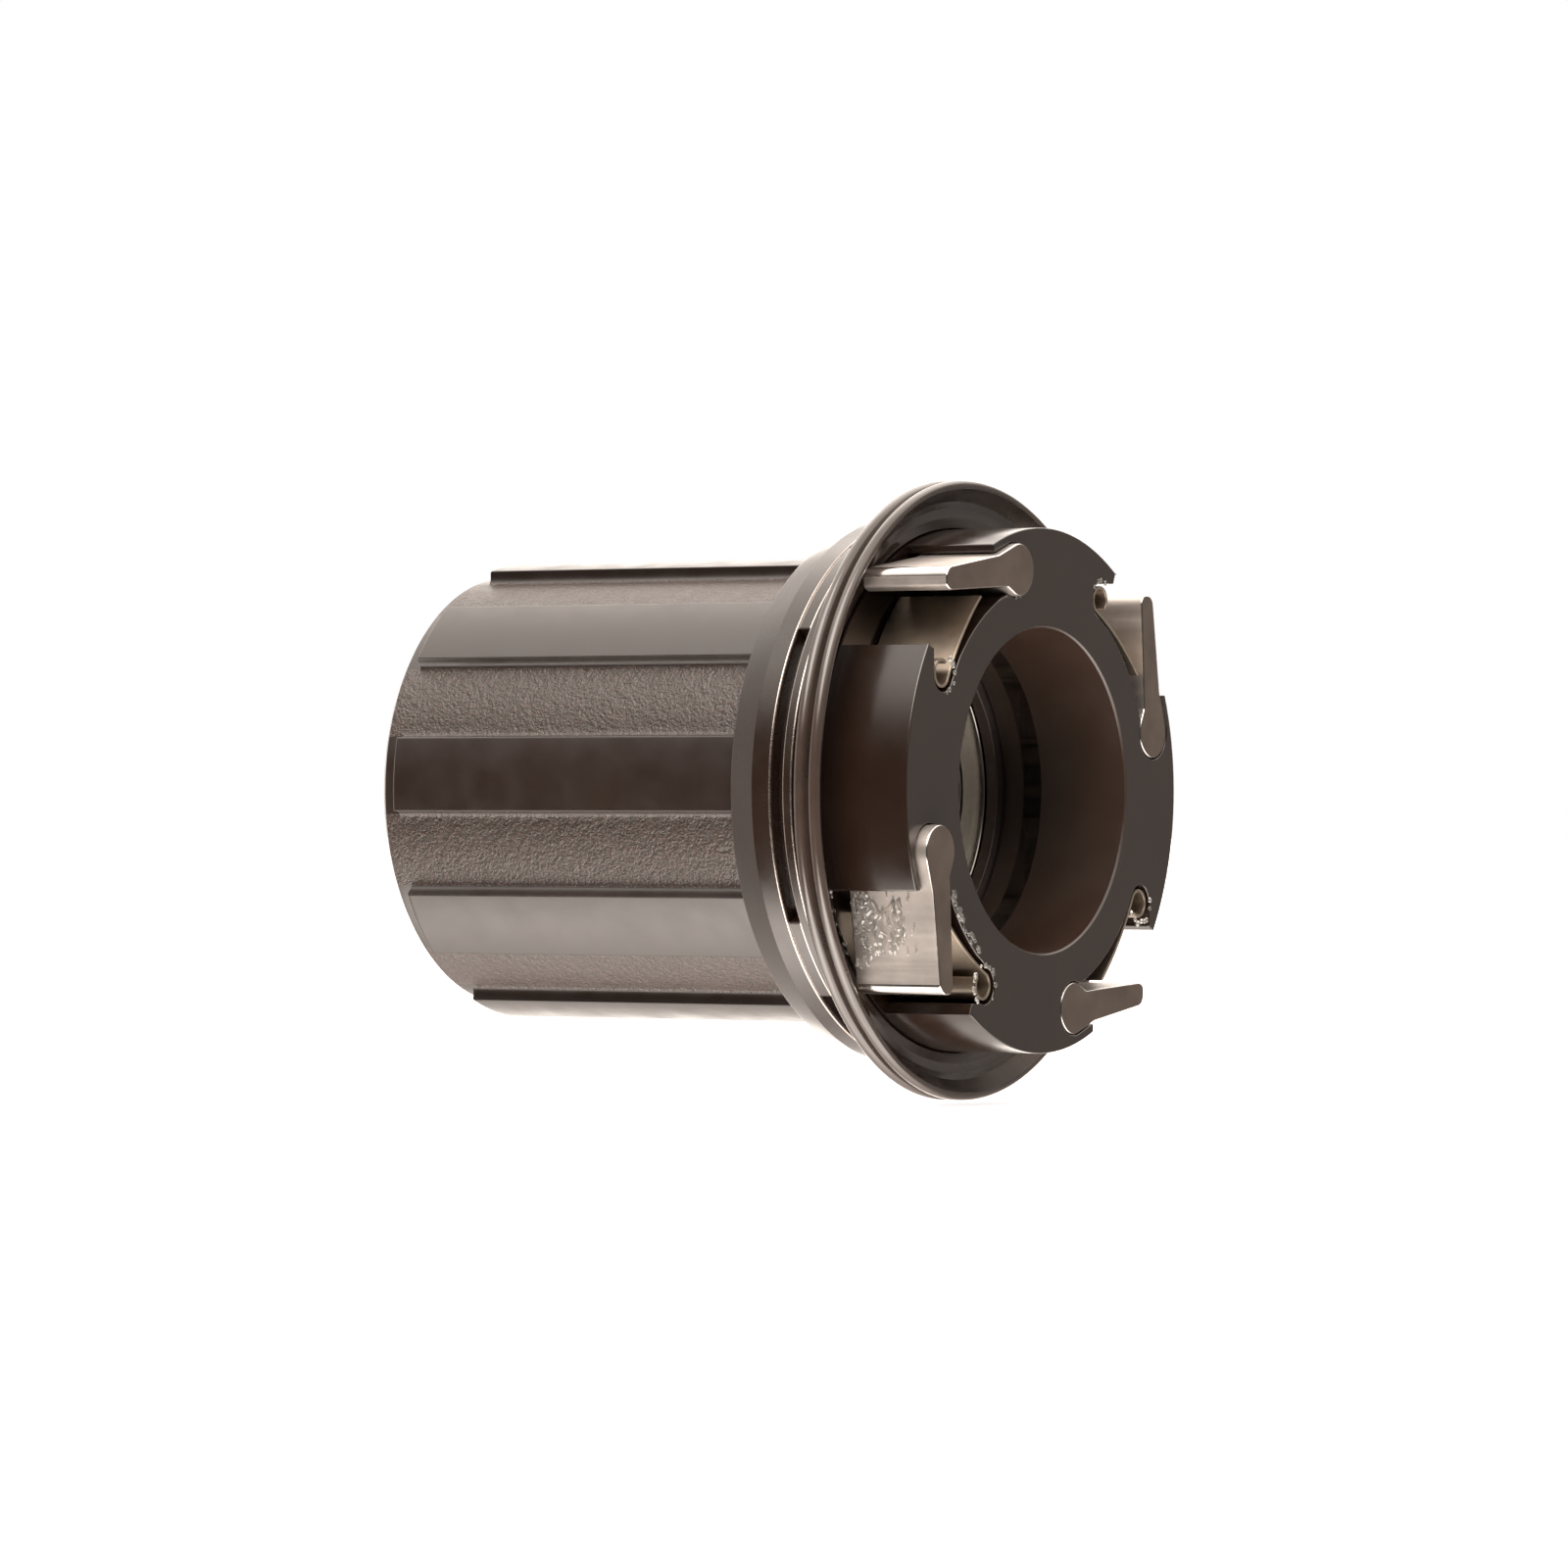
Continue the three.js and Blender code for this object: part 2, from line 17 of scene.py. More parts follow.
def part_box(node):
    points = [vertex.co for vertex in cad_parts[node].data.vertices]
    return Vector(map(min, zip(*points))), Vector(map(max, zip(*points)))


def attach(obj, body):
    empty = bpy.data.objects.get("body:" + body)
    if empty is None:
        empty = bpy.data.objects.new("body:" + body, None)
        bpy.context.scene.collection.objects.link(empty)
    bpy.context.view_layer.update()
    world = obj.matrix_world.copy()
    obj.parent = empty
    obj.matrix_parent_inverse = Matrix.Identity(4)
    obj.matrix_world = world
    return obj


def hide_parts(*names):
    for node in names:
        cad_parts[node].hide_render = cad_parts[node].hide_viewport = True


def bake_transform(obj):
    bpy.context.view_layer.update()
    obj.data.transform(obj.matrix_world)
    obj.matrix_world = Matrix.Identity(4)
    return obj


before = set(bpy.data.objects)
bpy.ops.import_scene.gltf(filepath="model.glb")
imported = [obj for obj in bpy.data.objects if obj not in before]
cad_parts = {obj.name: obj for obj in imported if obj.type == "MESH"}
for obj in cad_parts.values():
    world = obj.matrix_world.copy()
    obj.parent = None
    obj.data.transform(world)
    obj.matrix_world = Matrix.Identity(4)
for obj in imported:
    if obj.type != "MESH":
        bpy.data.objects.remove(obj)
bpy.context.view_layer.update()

# ---- dimensions, in millimetres and degrees ----------------------------------------------
# Angles run counter-clockwise in the face view, from its right.
MM = 0.001
BODY = "freehub_body"
BODY_LOW, BODY_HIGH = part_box("cassette_body")
SEAL_LOW, SEAL_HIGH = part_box("lip_seal")
OUTBOARD_Y = BODY_LOW.y
BODY_LENGTH = (BODY_HIGH.y - BODY_LOW.y) / MM
RIM_R = BODY_HIGH.z / MM
SEAL_R = SEAL_HIGH.z / MM

SPLINES = 9
SPLINE_PITCH = 360 / SPLINES
SPLINE_PHASE = 175.86
SPLINE_TOP_R = 17.45
SPLINE_ROOT_R = 16.45
SPLINE_TOP_HALF = 9.18
SPLINE_ROOT_HALF = 11.33
SPLINE_WALL_LEAN = 0.25
SPLINE_FOOT_RISE = 0.02
GROOVE_SEAM_HALF = 0.6
GROOVE_REACH = 0.12
INDEX_RIDGES = (4, 5)
INDEX_EXTRA = 4.6
END_FACE_R = 15.45
END_EDGE_R = 15.95
END_CONE_LENGTH = 0.5
RIDGE_FROM = 1.85
RIDGE_CHAMFER = 0.15
# The largest radius the drum may have at each station of its outboard end: a rounded edge,
# a cone out to the groove floors, then the square ends of the ridges with their chamfer.
FLOOR_LIMIT = SPLINE_ROOT_R + 0.004
NO_LIMIT = SPLINE_TOP_R + 1
DRUM_END_LIMITS = (
    (0.0, END_EDGE_R - 0.03), (0.03, END_EDGE_R), (0.25, END_EDGE_R + 0.25),
    (END_CONE_LENGTH - 0.06, FLOOR_LIMIT - 0.06), (END_CONE_LENGTH, FLOOR_LIMIT - 0.012),
    (END_CONE_LENGTH + 0.08, FLOOR_LIMIT), (1.1, FLOOR_LIMIT), (1.7, FLOOR_LIMIT),
    (RIDGE_FROM - 0.02, FLOOR_LIMIT), (RIDGE_FROM, SPLINE_TOP_R - RIDGE_CHAMFER),
    (RIDGE_FROM + 0.04, SPLINE_TOP_R - 0.07), (RIDGE_FROM + 0.1, SPLINE_TOP_R - 0.02),
    (RIDGE_FROM + RIDGE_CHAMFER, NO_LIMIT), (2.2, NO_LIMIT),
)

CORE_R = 16.2
SHOULDER_AT = 33.55
SHOULDER_R = 19.5
RIM_AT = 35.9
SCORE_AT = 37.52
SCORE_HALF = 0.12
SCORE_DEPTH = 0.25
SLOT_TO = 38.5
SLOT_FLOOR_R = 19.1
SLOT_SPANS = ((144.5, 208.2), (227.9, 298.2), (324.5, 388.2), (47.9, 118.2))
RIM_END = 39.3
SEAL_RELIEF_R = 18.9
WEB_INNER_R = 18.5
EDGE_ROUND = 0.10
BAND_ROUND = 0.12
# Where the rim's rounded edges take a bright steel as a painted highlight: how far in from
# its top, from which station, and between which slopes of the surface along the axis.
RIM_HIGHLIGHT_WIDTH = 0.12
RIM_HIGHLIGHT_FROM = RIM_AT + 0.4
RIM_HIGHLIGHT_SLOPES = (0.12, 0.97)

CARRIER_R = 19.42
CARRIER_FROM = 39.6
POCKET_FROM = 41.15
POCKET_FLOOR_R = 15.35
POCKET_FLOOR_SPAN = (23.2, 51.3)
POCKET_NOSE = (10.56, 16.32)
POCKET_WALL_X = 10.25
POCKET_ROUND = 0.14
LOBE_FROM = -32.9
LIP_OUT = (17.98, 7.25)
LIP_IN = (17.37, 7.25)
PIVOT = (16.2, 4.4)
SOCKET_R = 2.03
SOCKET_SPAN = (22, -205)
SPRING_HOLE = (8.5, 14.24)
SPRING_HOLE_R = 1.37
SPRING_HOLE_SPAN = (248.7, 68)

LOCKRING_R = 15.2
LOCKRING_DEPTH = 9.0
THREAD_PITCH = 1.0
THREAD_DEPTH = 0.42
THREAD_FROM = 0.6
THREAD_TO = 8.0
THREAD_FADE = 0.8
THREAD_RELIEF = 0.3
THREAD_FLANK = 2.6
THREAD_ROOT = 0.15
BORE_R = 12.05
BORE_MOUTH_R = 12.17
BORE_MOUTH_DEPTH = 0.12
CENTRE_BORE_R = 10.9
RING_GROOVE_R = 12.95
RING_PLAY = 0.07
RING_PLAY_OUTWARD = 0.08
SEAT_PLAY = 0.05

PAWL_HEAD_R = 1.93
PAWL_HEAD_SPAN = (150, 380)
PAWL_SHOULDER = (17.2, 7.4)
PAWL_NECK = (14.92, 6.2)
PAWL_CORNER = (15.4, 13.9)
PAWL_CORNER_R = 0.85
PAWL_CORNER_FROM = 8.2
PAWL_NOSE = (15.0, 13.95)
PAWL_NOSE_HALF = (0.5, 0.8)
PAWL_TIP = (16.24, 14.02)
# A pawl face is flat, edge or side by how much of its normal lies along the axis.
PAWL_FLAT_SLOPE = 0.96
PAWL_EDGE_SLOPE = 0.25
SPRING_LOOP_R = 1.08
SPRING_LOOP_FROM = -40
SPRING_LOOP_TO = 233
SPRING_THICKNESS = 0.22
SPRING_LEAF = 7.85
SPRING_BOW = 0.34

SEAL_BACK = ((19.5, 39.72), (20.9, 39.72), (22.0, 40.05))
SEAL_LIPS = (40.5, 41.74)
SEAL_LIP_BEAD = 0.46
SEAL_VALLEY_R = 22.2
SEAL_FACE = ((22.1, 41.7), (21.5, 41.2), (21.0, 41.02), (20.6, 41.04), (20.35, 41.1),
             (20.1, 41.04), (19.8, 40.95), (19.5, 40.9))
SEAL_FIRM_R = 20.4
SEAL_FIRM_WIDTH = 2.0
SEAL_LEAN = 1.0
SEAL_RIPPLE = 0.04

OUTER_RACE_R = 12.0
OUTER_RACE_MOUTH_R = 11.1
OUTER_RACE_WALL_R = 10.98
OUTER_RACE_TRACK_R = 10.45
OUTER_RACE_CHAMFER = 0.3
INNER_RACE_R = 7.5
INNER_RACE_WALL_R = 8.05
INNER_RACE_TRACK_R = 8.95
TRACK_HALF = 1.75
SHIELD_INNER_R = 8.3
SHIELD_OUTER_R = 10.97
SHIELD_PANEL = ((8.9, 9.15), (10.3, 10.55))
SHIELD_SINK = 0.12
SPACER_R = (7.6, 8.7)
SNAP_RING_R = (11.15, 12.8)
SNAP_RING_GAP_HALF = 13

GREASE_RING_FROM = 14.75
DROP_SMOOTHNESS = 3
HOLE_BEAD_OFFSETS = (0.02, 0.22)
HOLE_BEAD_STEPS = (6, 40)
HOLE_BEAD_SPANS = ((70, 150), (-70, 80), (-40, 230), (-150, 10))
PAWL_2_BEADS = (-80, -62, -45, -22, 2, 20, 44, 60)

FINE = 288
SEAL_SEGMENTS = 360
ROUND_STEPS = 3
ROUND_HOLD = 0.05
ROUND_SHARE = 0.45
MITRE_LIMIT = 0.35
CRISP = 38
ALL_SMOOTH = 180


# ---- placing -----------------------------------------------------------------------------
def polar(radius, degrees):
    angle = math.radians(degrees)
    return (radius * math.cos(angle), radius * math.sin(angle))


def turn(point, degrees):
    c, s = math.cos(math.radians(degrees)), math.sin(math.radians(degrees))
    return (point[0] * c - point[1] * s, point[0] * s + point[1] * c)


def at(x, y, station):
    """Face-view point at a station, as a point of the frame."""
    return Vector((-x * MM, OUTBOARD_Y + station * MM, y * MM))


def station_of(node):
    """(first, last) station of a CAD node along the axis."""
    low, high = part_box(node)
    return ((low.y - OUTBOARD_Y) / MM, (high.y - OUTBOARD_Y) / MM)


def arc(centre, radius, start, end, steps):
    points = []
    for i in range(steps + 1):
        x, y = polar(radius, start + (end - start) * i / steps)
        points.append((centre[0] + x, centre[1] + y))
    return points


def soften(points, radius, closed=True, sharpest=14):
    """Rounds each corner of an outline that turns by more than `sharpest` degrees, with
    a point held close on both sides so that the flats beside it stay flat."""
    rounded = []
    count = len(points)
    for i, point in enumerate(points):
        here = Vector(point)
        if not closed and i in (0, count - 1):
            rounded.append(tuple(here))
            continue
        before = Vector(points[i - 1]) - here
        after = Vector(points[(i + 1) % count]) - here
        if before.length < 1e-9 or after.length < 1e-9:
            continue
        bend = math.degrees(before.angle(-after))
        if bend < sharpest:
            rounded.append(tuple(here))
            continue
        cut = min(radius * math.tan(math.radians(bend) / 2) + 1e-6,
                  ROUND_SHARE * before.length, ROUND_SHARE * after.length)
        start = here + before.normalized() * cut
        end = here + after.normalized() * cut
        if cut + ROUND_HOLD < ROUND_SHARE * before.length:
            rounded.append(tuple(here + before.normalized() * (cut + ROUND_HOLD)))
        for k in range(ROUND_STEPS + 1):
            t = k / ROUND_STEPS
            rounded.append(tuple(start * (1 - t) ** 2 + here * 2 * t * (1 - t) + end * t ** 2))
        if cut + ROUND_HOLD < ROUND_SHARE * after.length:
            rounded.append(tuple(here + after.normalized() * (cut + ROUND_HOLD)))
    return rounded


# ---- mesh makers -------------------------------------------------------------------------
def make_object(name, mesh, material, body=None):
    mesh.materials.append(material)
    piece = bpy.data.objects.new(name, mesh)
    bpy.context.scene.collection.objects.link(piece)
    if body:
        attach(piece, body)
    return piece


def finish_mesh(bm, name, crisp=CRISP):
    """The mesh, smooth but for edges that turn by more than `crisp` degrees or are marked."""
    bmesh.ops.recalc_face_normals(bm, faces=bm.faces)
    bm.edges.index_update()
    kept_sharp = [edge.index for edge in bm.edges if not edge.smooth]
    mesh = bpy.data.meshes.new(name)
    bm.to_mesh(mesh)
    bm.free()
    mesh.shade_smooth()
    mesh.set_sharp_from_angle(angle=math.radians(crisp))
    for index in kept_sharp:
        mesh.edges[index].use_edge_sharp = True
    return mesh


def skin(rings, close=False):
    """Quads between successive rings of points, and from the last to the first if closed."""
    bm = bmesh.new()
    rows = [[bm.verts.new(point) for point in ring] for ring in rings]
    if close:
        rows.append(rows[0])
    for low, high in zip(rows, rows[1:]):
        count = len(low)
        for i in range(count):
            j = (i + 1) % count
            bm.faces.new((low[i], low[j], high[j], high[i]))
    return bm


def turned(name, profile, material, body, closed=True, segments=FINE, shift=None):
    """A ring turned about the axis from (radius, station) points."""
    rings = []
    for radius, station in profile:
        ring = []
        for i in range(segments):
            degrees = 360 * i / segments
            moved = station + (shift(radius, station, degrees) if shift else 0)
            x, y = polar(radius, degrees)
            ring.append(at(x, y, moved))
        rings.append(ring)
    return make_object(name, finish_mesh(skin(rings, close=closed), name), material, body)


def inward(loop, distance):
    """Moves a closed loop into the material, which lies on its left."""
    moved = []
    count = len(loop)
    for i in range(count):
        here = Vector(loop[i])
        a = (here - Vector(loop[i - 1])).normalized()
        b = (Vector(loop[(i + 1) % count]) - here).normalized()
        normal = Vector((-a.y, a.x)) + Vector((-b.y, b.x))
        scale = max(normal.length_squared / 2, MITRE_LIMIT)
        moved.append(tuple(here + normal * (distance / scale)))
    return moved


def slab(name, outline, start, end, material, body, edge, hole=None, both=True, steps=3):
    """An outline carried along the axis, with rounded rims where its walls meet its far end
    and, if `both` is set, its near end."""
    bm = bmesh.new()
    rounds = [(edge * (1 - math.cos(math.radians(90 * k / steps))),
               edge * (1 - math.sin(math.radians(90 * k / steps)))) for k in range(steps + 1)]
    hold = edge + ROUND_HOLD
    levels = [(0, end - hold)] + [(inset, end - drop) for inset, drop in rounds]
    if both:
        levels = [(inset, start + drop) for inset, drop in reversed(rounds)] + [
            (0, start + hold)] + levels
    else:
        levels = [(0, start)] + levels
    rows = []
    for inset, station in levels:
        loop = inward(outline, inset) if inset else outline
        rows.append([bm.verts.new(at(x, y, station)) for x, y in loop])
    for low, high in zip(rows, rows[1:]):
        for i in range(len(low)):
            j = (i + 1) % len(low)
            bm.faces.new((low[i], low[j], high[j], high[i]))
    for row, (inset, station) in ((rows[0], levels[0]), (rows[-1], levels[-1])):
        loops = [[Vector((*p, 0)) for p in (inward(outline, inset) if inset else outline)]]
        verts = list(row)
        if hole:
            loops.append([Vector((*p, 0)) for p in hole])
            verts += [bm.verts.new(at(x, y, station)) for x, y in hole]
        for a, b, c in geometry.tessellate_polygon(loops):
            if len({a, b, c}) == 3:
                try:
                    bm.faces.new((verts[a], verts[b], verts[c]))
                except ValueError:
                    pass
        for i, vert in enumerate(row):
            rim = bm.edges.get((vert, row[(i + 1) % len(row)]))
            if rim:
                rim.smooth = False
    return make_object(name, finish_mesh(bm, name), material, body)


# ---- materials ---------------------------------------------------------------------------
NOISE_LOW, NOISE_HIGH = 0.3, 0.7
ANODISED_DARK = (0.021, 0.0105, 0.0066)
ANODISED_LIGHT = (0.030, 0.0160, 0.0110)


class Finish:
    """A Principled material with noise-driven colour, roughness and bump."""

    def __init__(self, name, color, roughness, metallic=0.0, **sockets):
        self.material = bpy.data.materials.new(name)
        self.material.use_nodes = True
        self.tree = self.material.node_tree
        self.shader = self.tree.nodes["Principled BSDF"]
        self.shader.inputs["Base Color"].default_value = (*color, 1)
        self.shader.inputs["Roughness"].default_value = roughness
        self.shader.inputs["Metallic"].default_value = metallic
        for socket, value in sockets.items():
            self.shader.inputs[socket.replace("_", " ")].default_value = value
        self.place = self.tree.nodes.new("ShaderNodeTexCoord").outputs["Object"]
        self.height = None

    def node(self, kind, **settings):
        node = self.tree.nodes.new(kind)
        for key, value in settings.items():
            setattr(node, key, value)
        return node

    def link(self, output, socket):
        self.tree.links.new(output, socket)

    def scaled(self, stretch):
        mapping = self.node("ShaderNodeMapping")
        mapping.inputs["Scale"].default_value = stretch
        self.link(self.place, mapping.inputs["Vector"])
        return mapping.outputs["Vector"]

    def noise(self, scale, detail=4, stretch=None, rough=0.55):
        texture = self.node("ShaderNodeTexNoise")
        texture.inputs["Scale"].default_value = scale
        texture.inputs["Detail"].default_value = detail
        texture.inputs["Roughness"].default_value = rough
        self.link(self.scaled(stretch) if stretch else self.place, texture.inputs["Vector"])
        return texture.outputs["Fac"]

    def ramp(self, source, low, high, at_low, at_high):
        ramp = self.node("ShaderNodeValToRGB")
        ramp.color_ramp.elements[0].position = at_low
        ramp.color_ramp.elements[1].position = at_high
        ramp.color_ramp.elements[0].color = (*low, 1)
        ramp.color_ramp.elements[1].color = (*high, 1)
        self.link(source, ramp.inputs["Fac"])
        return ramp.outputs["Color"]

    def color(self, source, low, high, at_low=NOISE_LOW, at_high=NOISE_HIGH):
        self.link(self.ramp(source, low, high, at_low, at_high), self.shader.inputs["Base Color"])
        return self

    def rough(self, source, low, high):
        grey = self.ramp(source, (low,) * 3, (high,) * 3, NOISE_LOW, NOISE_HIGH)
        self.link(grey, self.shader.inputs["Roughness"])
        return self

    def bump(self, source, distance):
        """Adds relief of a depth in millimetres to what is there already."""
        bump = self.node("ShaderNodeBump")
        bump.inputs["Strength"].default_value = 1.0
        bump.inputs["Distance"].default_value = distance * MM
        self.link(source, bump.inputs["Height"])
        if self.height:
            self.link(self.height, bump.inputs["Normal"])
        self.height = bump.outputs["Normal"]
        self.link(self.height, self.shader.inputs["Normal"])
        return self


def anodised(name, tone, roughness, grain=0.0, lines=0.0, speckle=0.0):
    """Black anodising. grain is its blasted relief and lines its turning marks, both in
    millimetres; speckle is how many times brighter its flecks are."""
    base = [c * tone for c in ANODISED_DARK]
    lift = [c * tone for c in ANODISED_LIGHT]
    finish = Finish(name, base, roughness[0], IOR=1.85)
    if speckle:
        bright = [c * speckle for c in lift]
        finish.color(finish.noise(4200, 2, rough=0.8), base, bright, at_low=0.40, at_high=0.66)
    else:
        finish.color(finish.noise(160, 5), base, lift)
    finish.rough(finish.noise(420, 6), *roughness)
    if grain:
        finish.bump(finish.noise(4200, 2, rough=0.7), grain)
        finish.bump(finish.noise(1700, 3), grain)
    if lines:
        finish.bump(finish.noise(900, 3, stretch=(1, 12, 1)), lines)
    return finish.material


def steel(name, color, roughness, metallic=1.0, stretch=(1, 0.04, 1), depth=0.004):
    """Metal with streaks drawn out by `stretch` and cut to a depth in millimetres."""
    dim = [c * 0.72 for c in color]
    finish = Finish(name, color, roughness[0], metallic)
    finish.color(finish.noise(350, 5), dim, color)
    streaks = finish.noise(2600, 4, stretch=stretch)
    finish.rough(streaks, *roughness)
    finish.bump(streaks, depth)
    return finish.material


def rubber(name):
    finish = Finish(name, (0.058, 0.040, 0.033), 0.22, IOR=1.9)
    finish.color(finish.noise(240, 5), (0.047, 0.032, 0.026), (0.070, 0.049, 0.041))
    finish.rough(finish.noise(500, 5), 0.16, 0.28)
    finish.bump(finish.noise(1400, 4), 0.0012)
    return finish.material


# The shield's own beige, raised close to white: partly painted light for the inside of the bore,
# where little light reaches.
def shield_beige_painted_light(name):
    finish = Finish(name, (0.80, 0.74, 0.62), 0.45)
    finish.color(finish.noise(700, 5), (0.86, 0.80, 0.68), (0.96, 0.90, 0.78))
    finish.rough(finish.noise(900, 4), 0.35, 0.55)
    finish.bump(finish.noise(2200, 3), 0.006)
    return finish.material


def grease_gel(name):
    finish = Finish(name, (0.97, 0.94, 0.90), 0.05, Transmission_Weight=0.85, IOR=1.95)
    finish.color(finish.noise(900, 4), (0.90, 0.86, 0.80), (1.0, 0.98, 0.95))
    finish.rough(finish.noise(1500, 3), 0.02, 0.08)
    finish.bump(finish.noise(2200, 3), 0.05)
    return finish.material


DRUM = anodised("spline_anodised", tone=0.72, roughness=(0.30, 0.40), lines=0.003)
GROOVE = anodised("spline_groove_anodised", tone=0.70, roughness=(0.38, 0.50), grain=0.09,
                  speckle=3.2)
CARRIER = anodised("carrier_anodised", tone=0.75, roughness=(0.16, 0.25), lines=0.001)
RIM = anodised("rim_anodised", tone=0.8, roughness=(0.20, 0.32), grain=0.002)
# The bore's anodising is 1.6 times lighter than the outside's: painted light for the inside of
# the bore.
BORE = anodised("bore_anodised_painted_light", tone=1.6, roughness=(0.30, 0.42), lines=0.004)
RUBBER = rubber("seal_rubber")
PAWL_STEEL = steel("pawl_steel", (0.30, 0.24, 0.205), roughness=(0.30, 0.40), metallic=0.85,
                   depth=0.0006)
PAWL_GROUND = steel("pawl_ground_steel", (0.70, 0.64, 0.60), roughness=(0.40, 0.52),
                    metallic=0.9)
# Bright, smooth steel for the pawls' edges and the rounded corner at the tip: a painted
# highlight.
PAWL_EDGE_HIGHLIGHT = steel("pawl_edge_painted_highlight", (0.95, 0.91, 0.88), roughness=(0.14, 0.22), depth=0.0005)
# Bright steel for the rim's rounded edges near its top: a painted highlight, not bare metal.
RIM_EDGE_HIGHLIGHT = steel("rim_edge_painted_highlight", (0.62, 0.56, 0.52), roughness=(0.20, 0.34), metallic=0.9,
                  depth=0.0008)
SPRING_STEEL = steel("spring_strip", (0.50, 0.42, 0.34), roughness=(0.34, 0.40), metallic=0.9,
                     stretch=(1, 1, 1), depth=0.0002)
RACE_STEEL = steel("race_steel", (0.70, 0.67, 0.62), roughness=(0.12, 0.22),
                   stretch=(1, 8, 1), depth=0.001)
CAGE_STEEL = steel("cage_steel", (0.52, 0.50, 0.46), roughness=(0.20, 0.35))
SPACER_METAL = steel("spacer_alloy", (0.42, 0.42, 0.42), roughness=(0.25, 0.40),
                     stretch=(1, 14, 1))
RING_STEEL = steel("snap_ring_steel", (0.16, 0.13, 0.12), roughness=(0.28, 0.40), metallic=0.6,
                   depth=0.0010)
SHIELD = shield_beige_painted_light("shield_beige_painted_light")
GREASE = grease_gel("grease")


# ---- camera, light and floor -------------------------------------------------------------
VIEW_FROM = Vector((477.8, 331.4, -0.4)) * MM
VIEW_ALONG = Vector((-0.8423, -0.5389, 0.0016))
LENS_MM = 172.4
SENSOR_MM = 36
CLIP_NEAR, CLIP_FAR = 0.02, 20
FLOOR_HALF = 3.0
FLOOR_GAP = 0.0002
FLOOR_GREY = 0.85
FLOOR_GLOW = 0.75
# The light from above and below starts at the first height of a direction's unit vector
# and is full at the second. Its strength depends on how far the direction points away
# from the camera: (cosine with VIEW_ALONG, strength).
LIGHT_ABOVE = (0.30, 0.80)
LIGHT_BELOW = (-0.49, -0.72)
ABOVE_STRENGTH = ((-1.0, 1.8), (0.20, 1.6), (0.55, 3.0), (0.80, 5.0))
BELOW_STRENGTH = ((-1.0, 3.4), (-0.20, 3.4), (0.06, 4.2), (0.26, 2.2), (0.60, 0.6), (0.80, 2.0))
# Each of the other lights is a round patch: (middle, (start, full), strength), where
# start and full are cosines with the direction of its middle. In order: left and behind,
# right and behind, left, straight behind, then high and low on the camera's side.
LIGHT_PATCHES = (
    ((-0.60, -0.80, 0.0), (0.30, 0.90), 1.2),
    ((-0.84, 0.54, 0.0), (0.30, 0.90), 0.27),
    ((0.33, -0.94, 0.0), (0.93, 0.99), 0.5),
    (VIEW_ALONG, (0.87, 0.93), 3.6),
    ((0.57, 0.06, 0.82), (0.84, 0.96), 6.0),
    ((0.57, 0.06, -0.82), (0.84, 0.96), 6.0),
)
DARK_SIDE = 0.045
LIGHT_TINT = (1.0, 0.915, 0.84)


def camera():
    data = bpy.data.cameras.new("camera")
    data.lens = LENS_MM
    data.sensor_width = SENSOR_MM
    data.clip_start = CLIP_NEAR
    data.clip_end = CLIP_FAR
    eye = bpy.data.objects.new("camera", data)
    eye.location = VIEW_FROM + Vector((0, OUTBOARD_Y, 0))
    eye.rotation_euler = VIEW_ALONG.to_track_quat("-Z", "Y").to_euler()
    bpy.context.scene.collection.objects.link(eye)
    bpy.context.scene.camera = eye


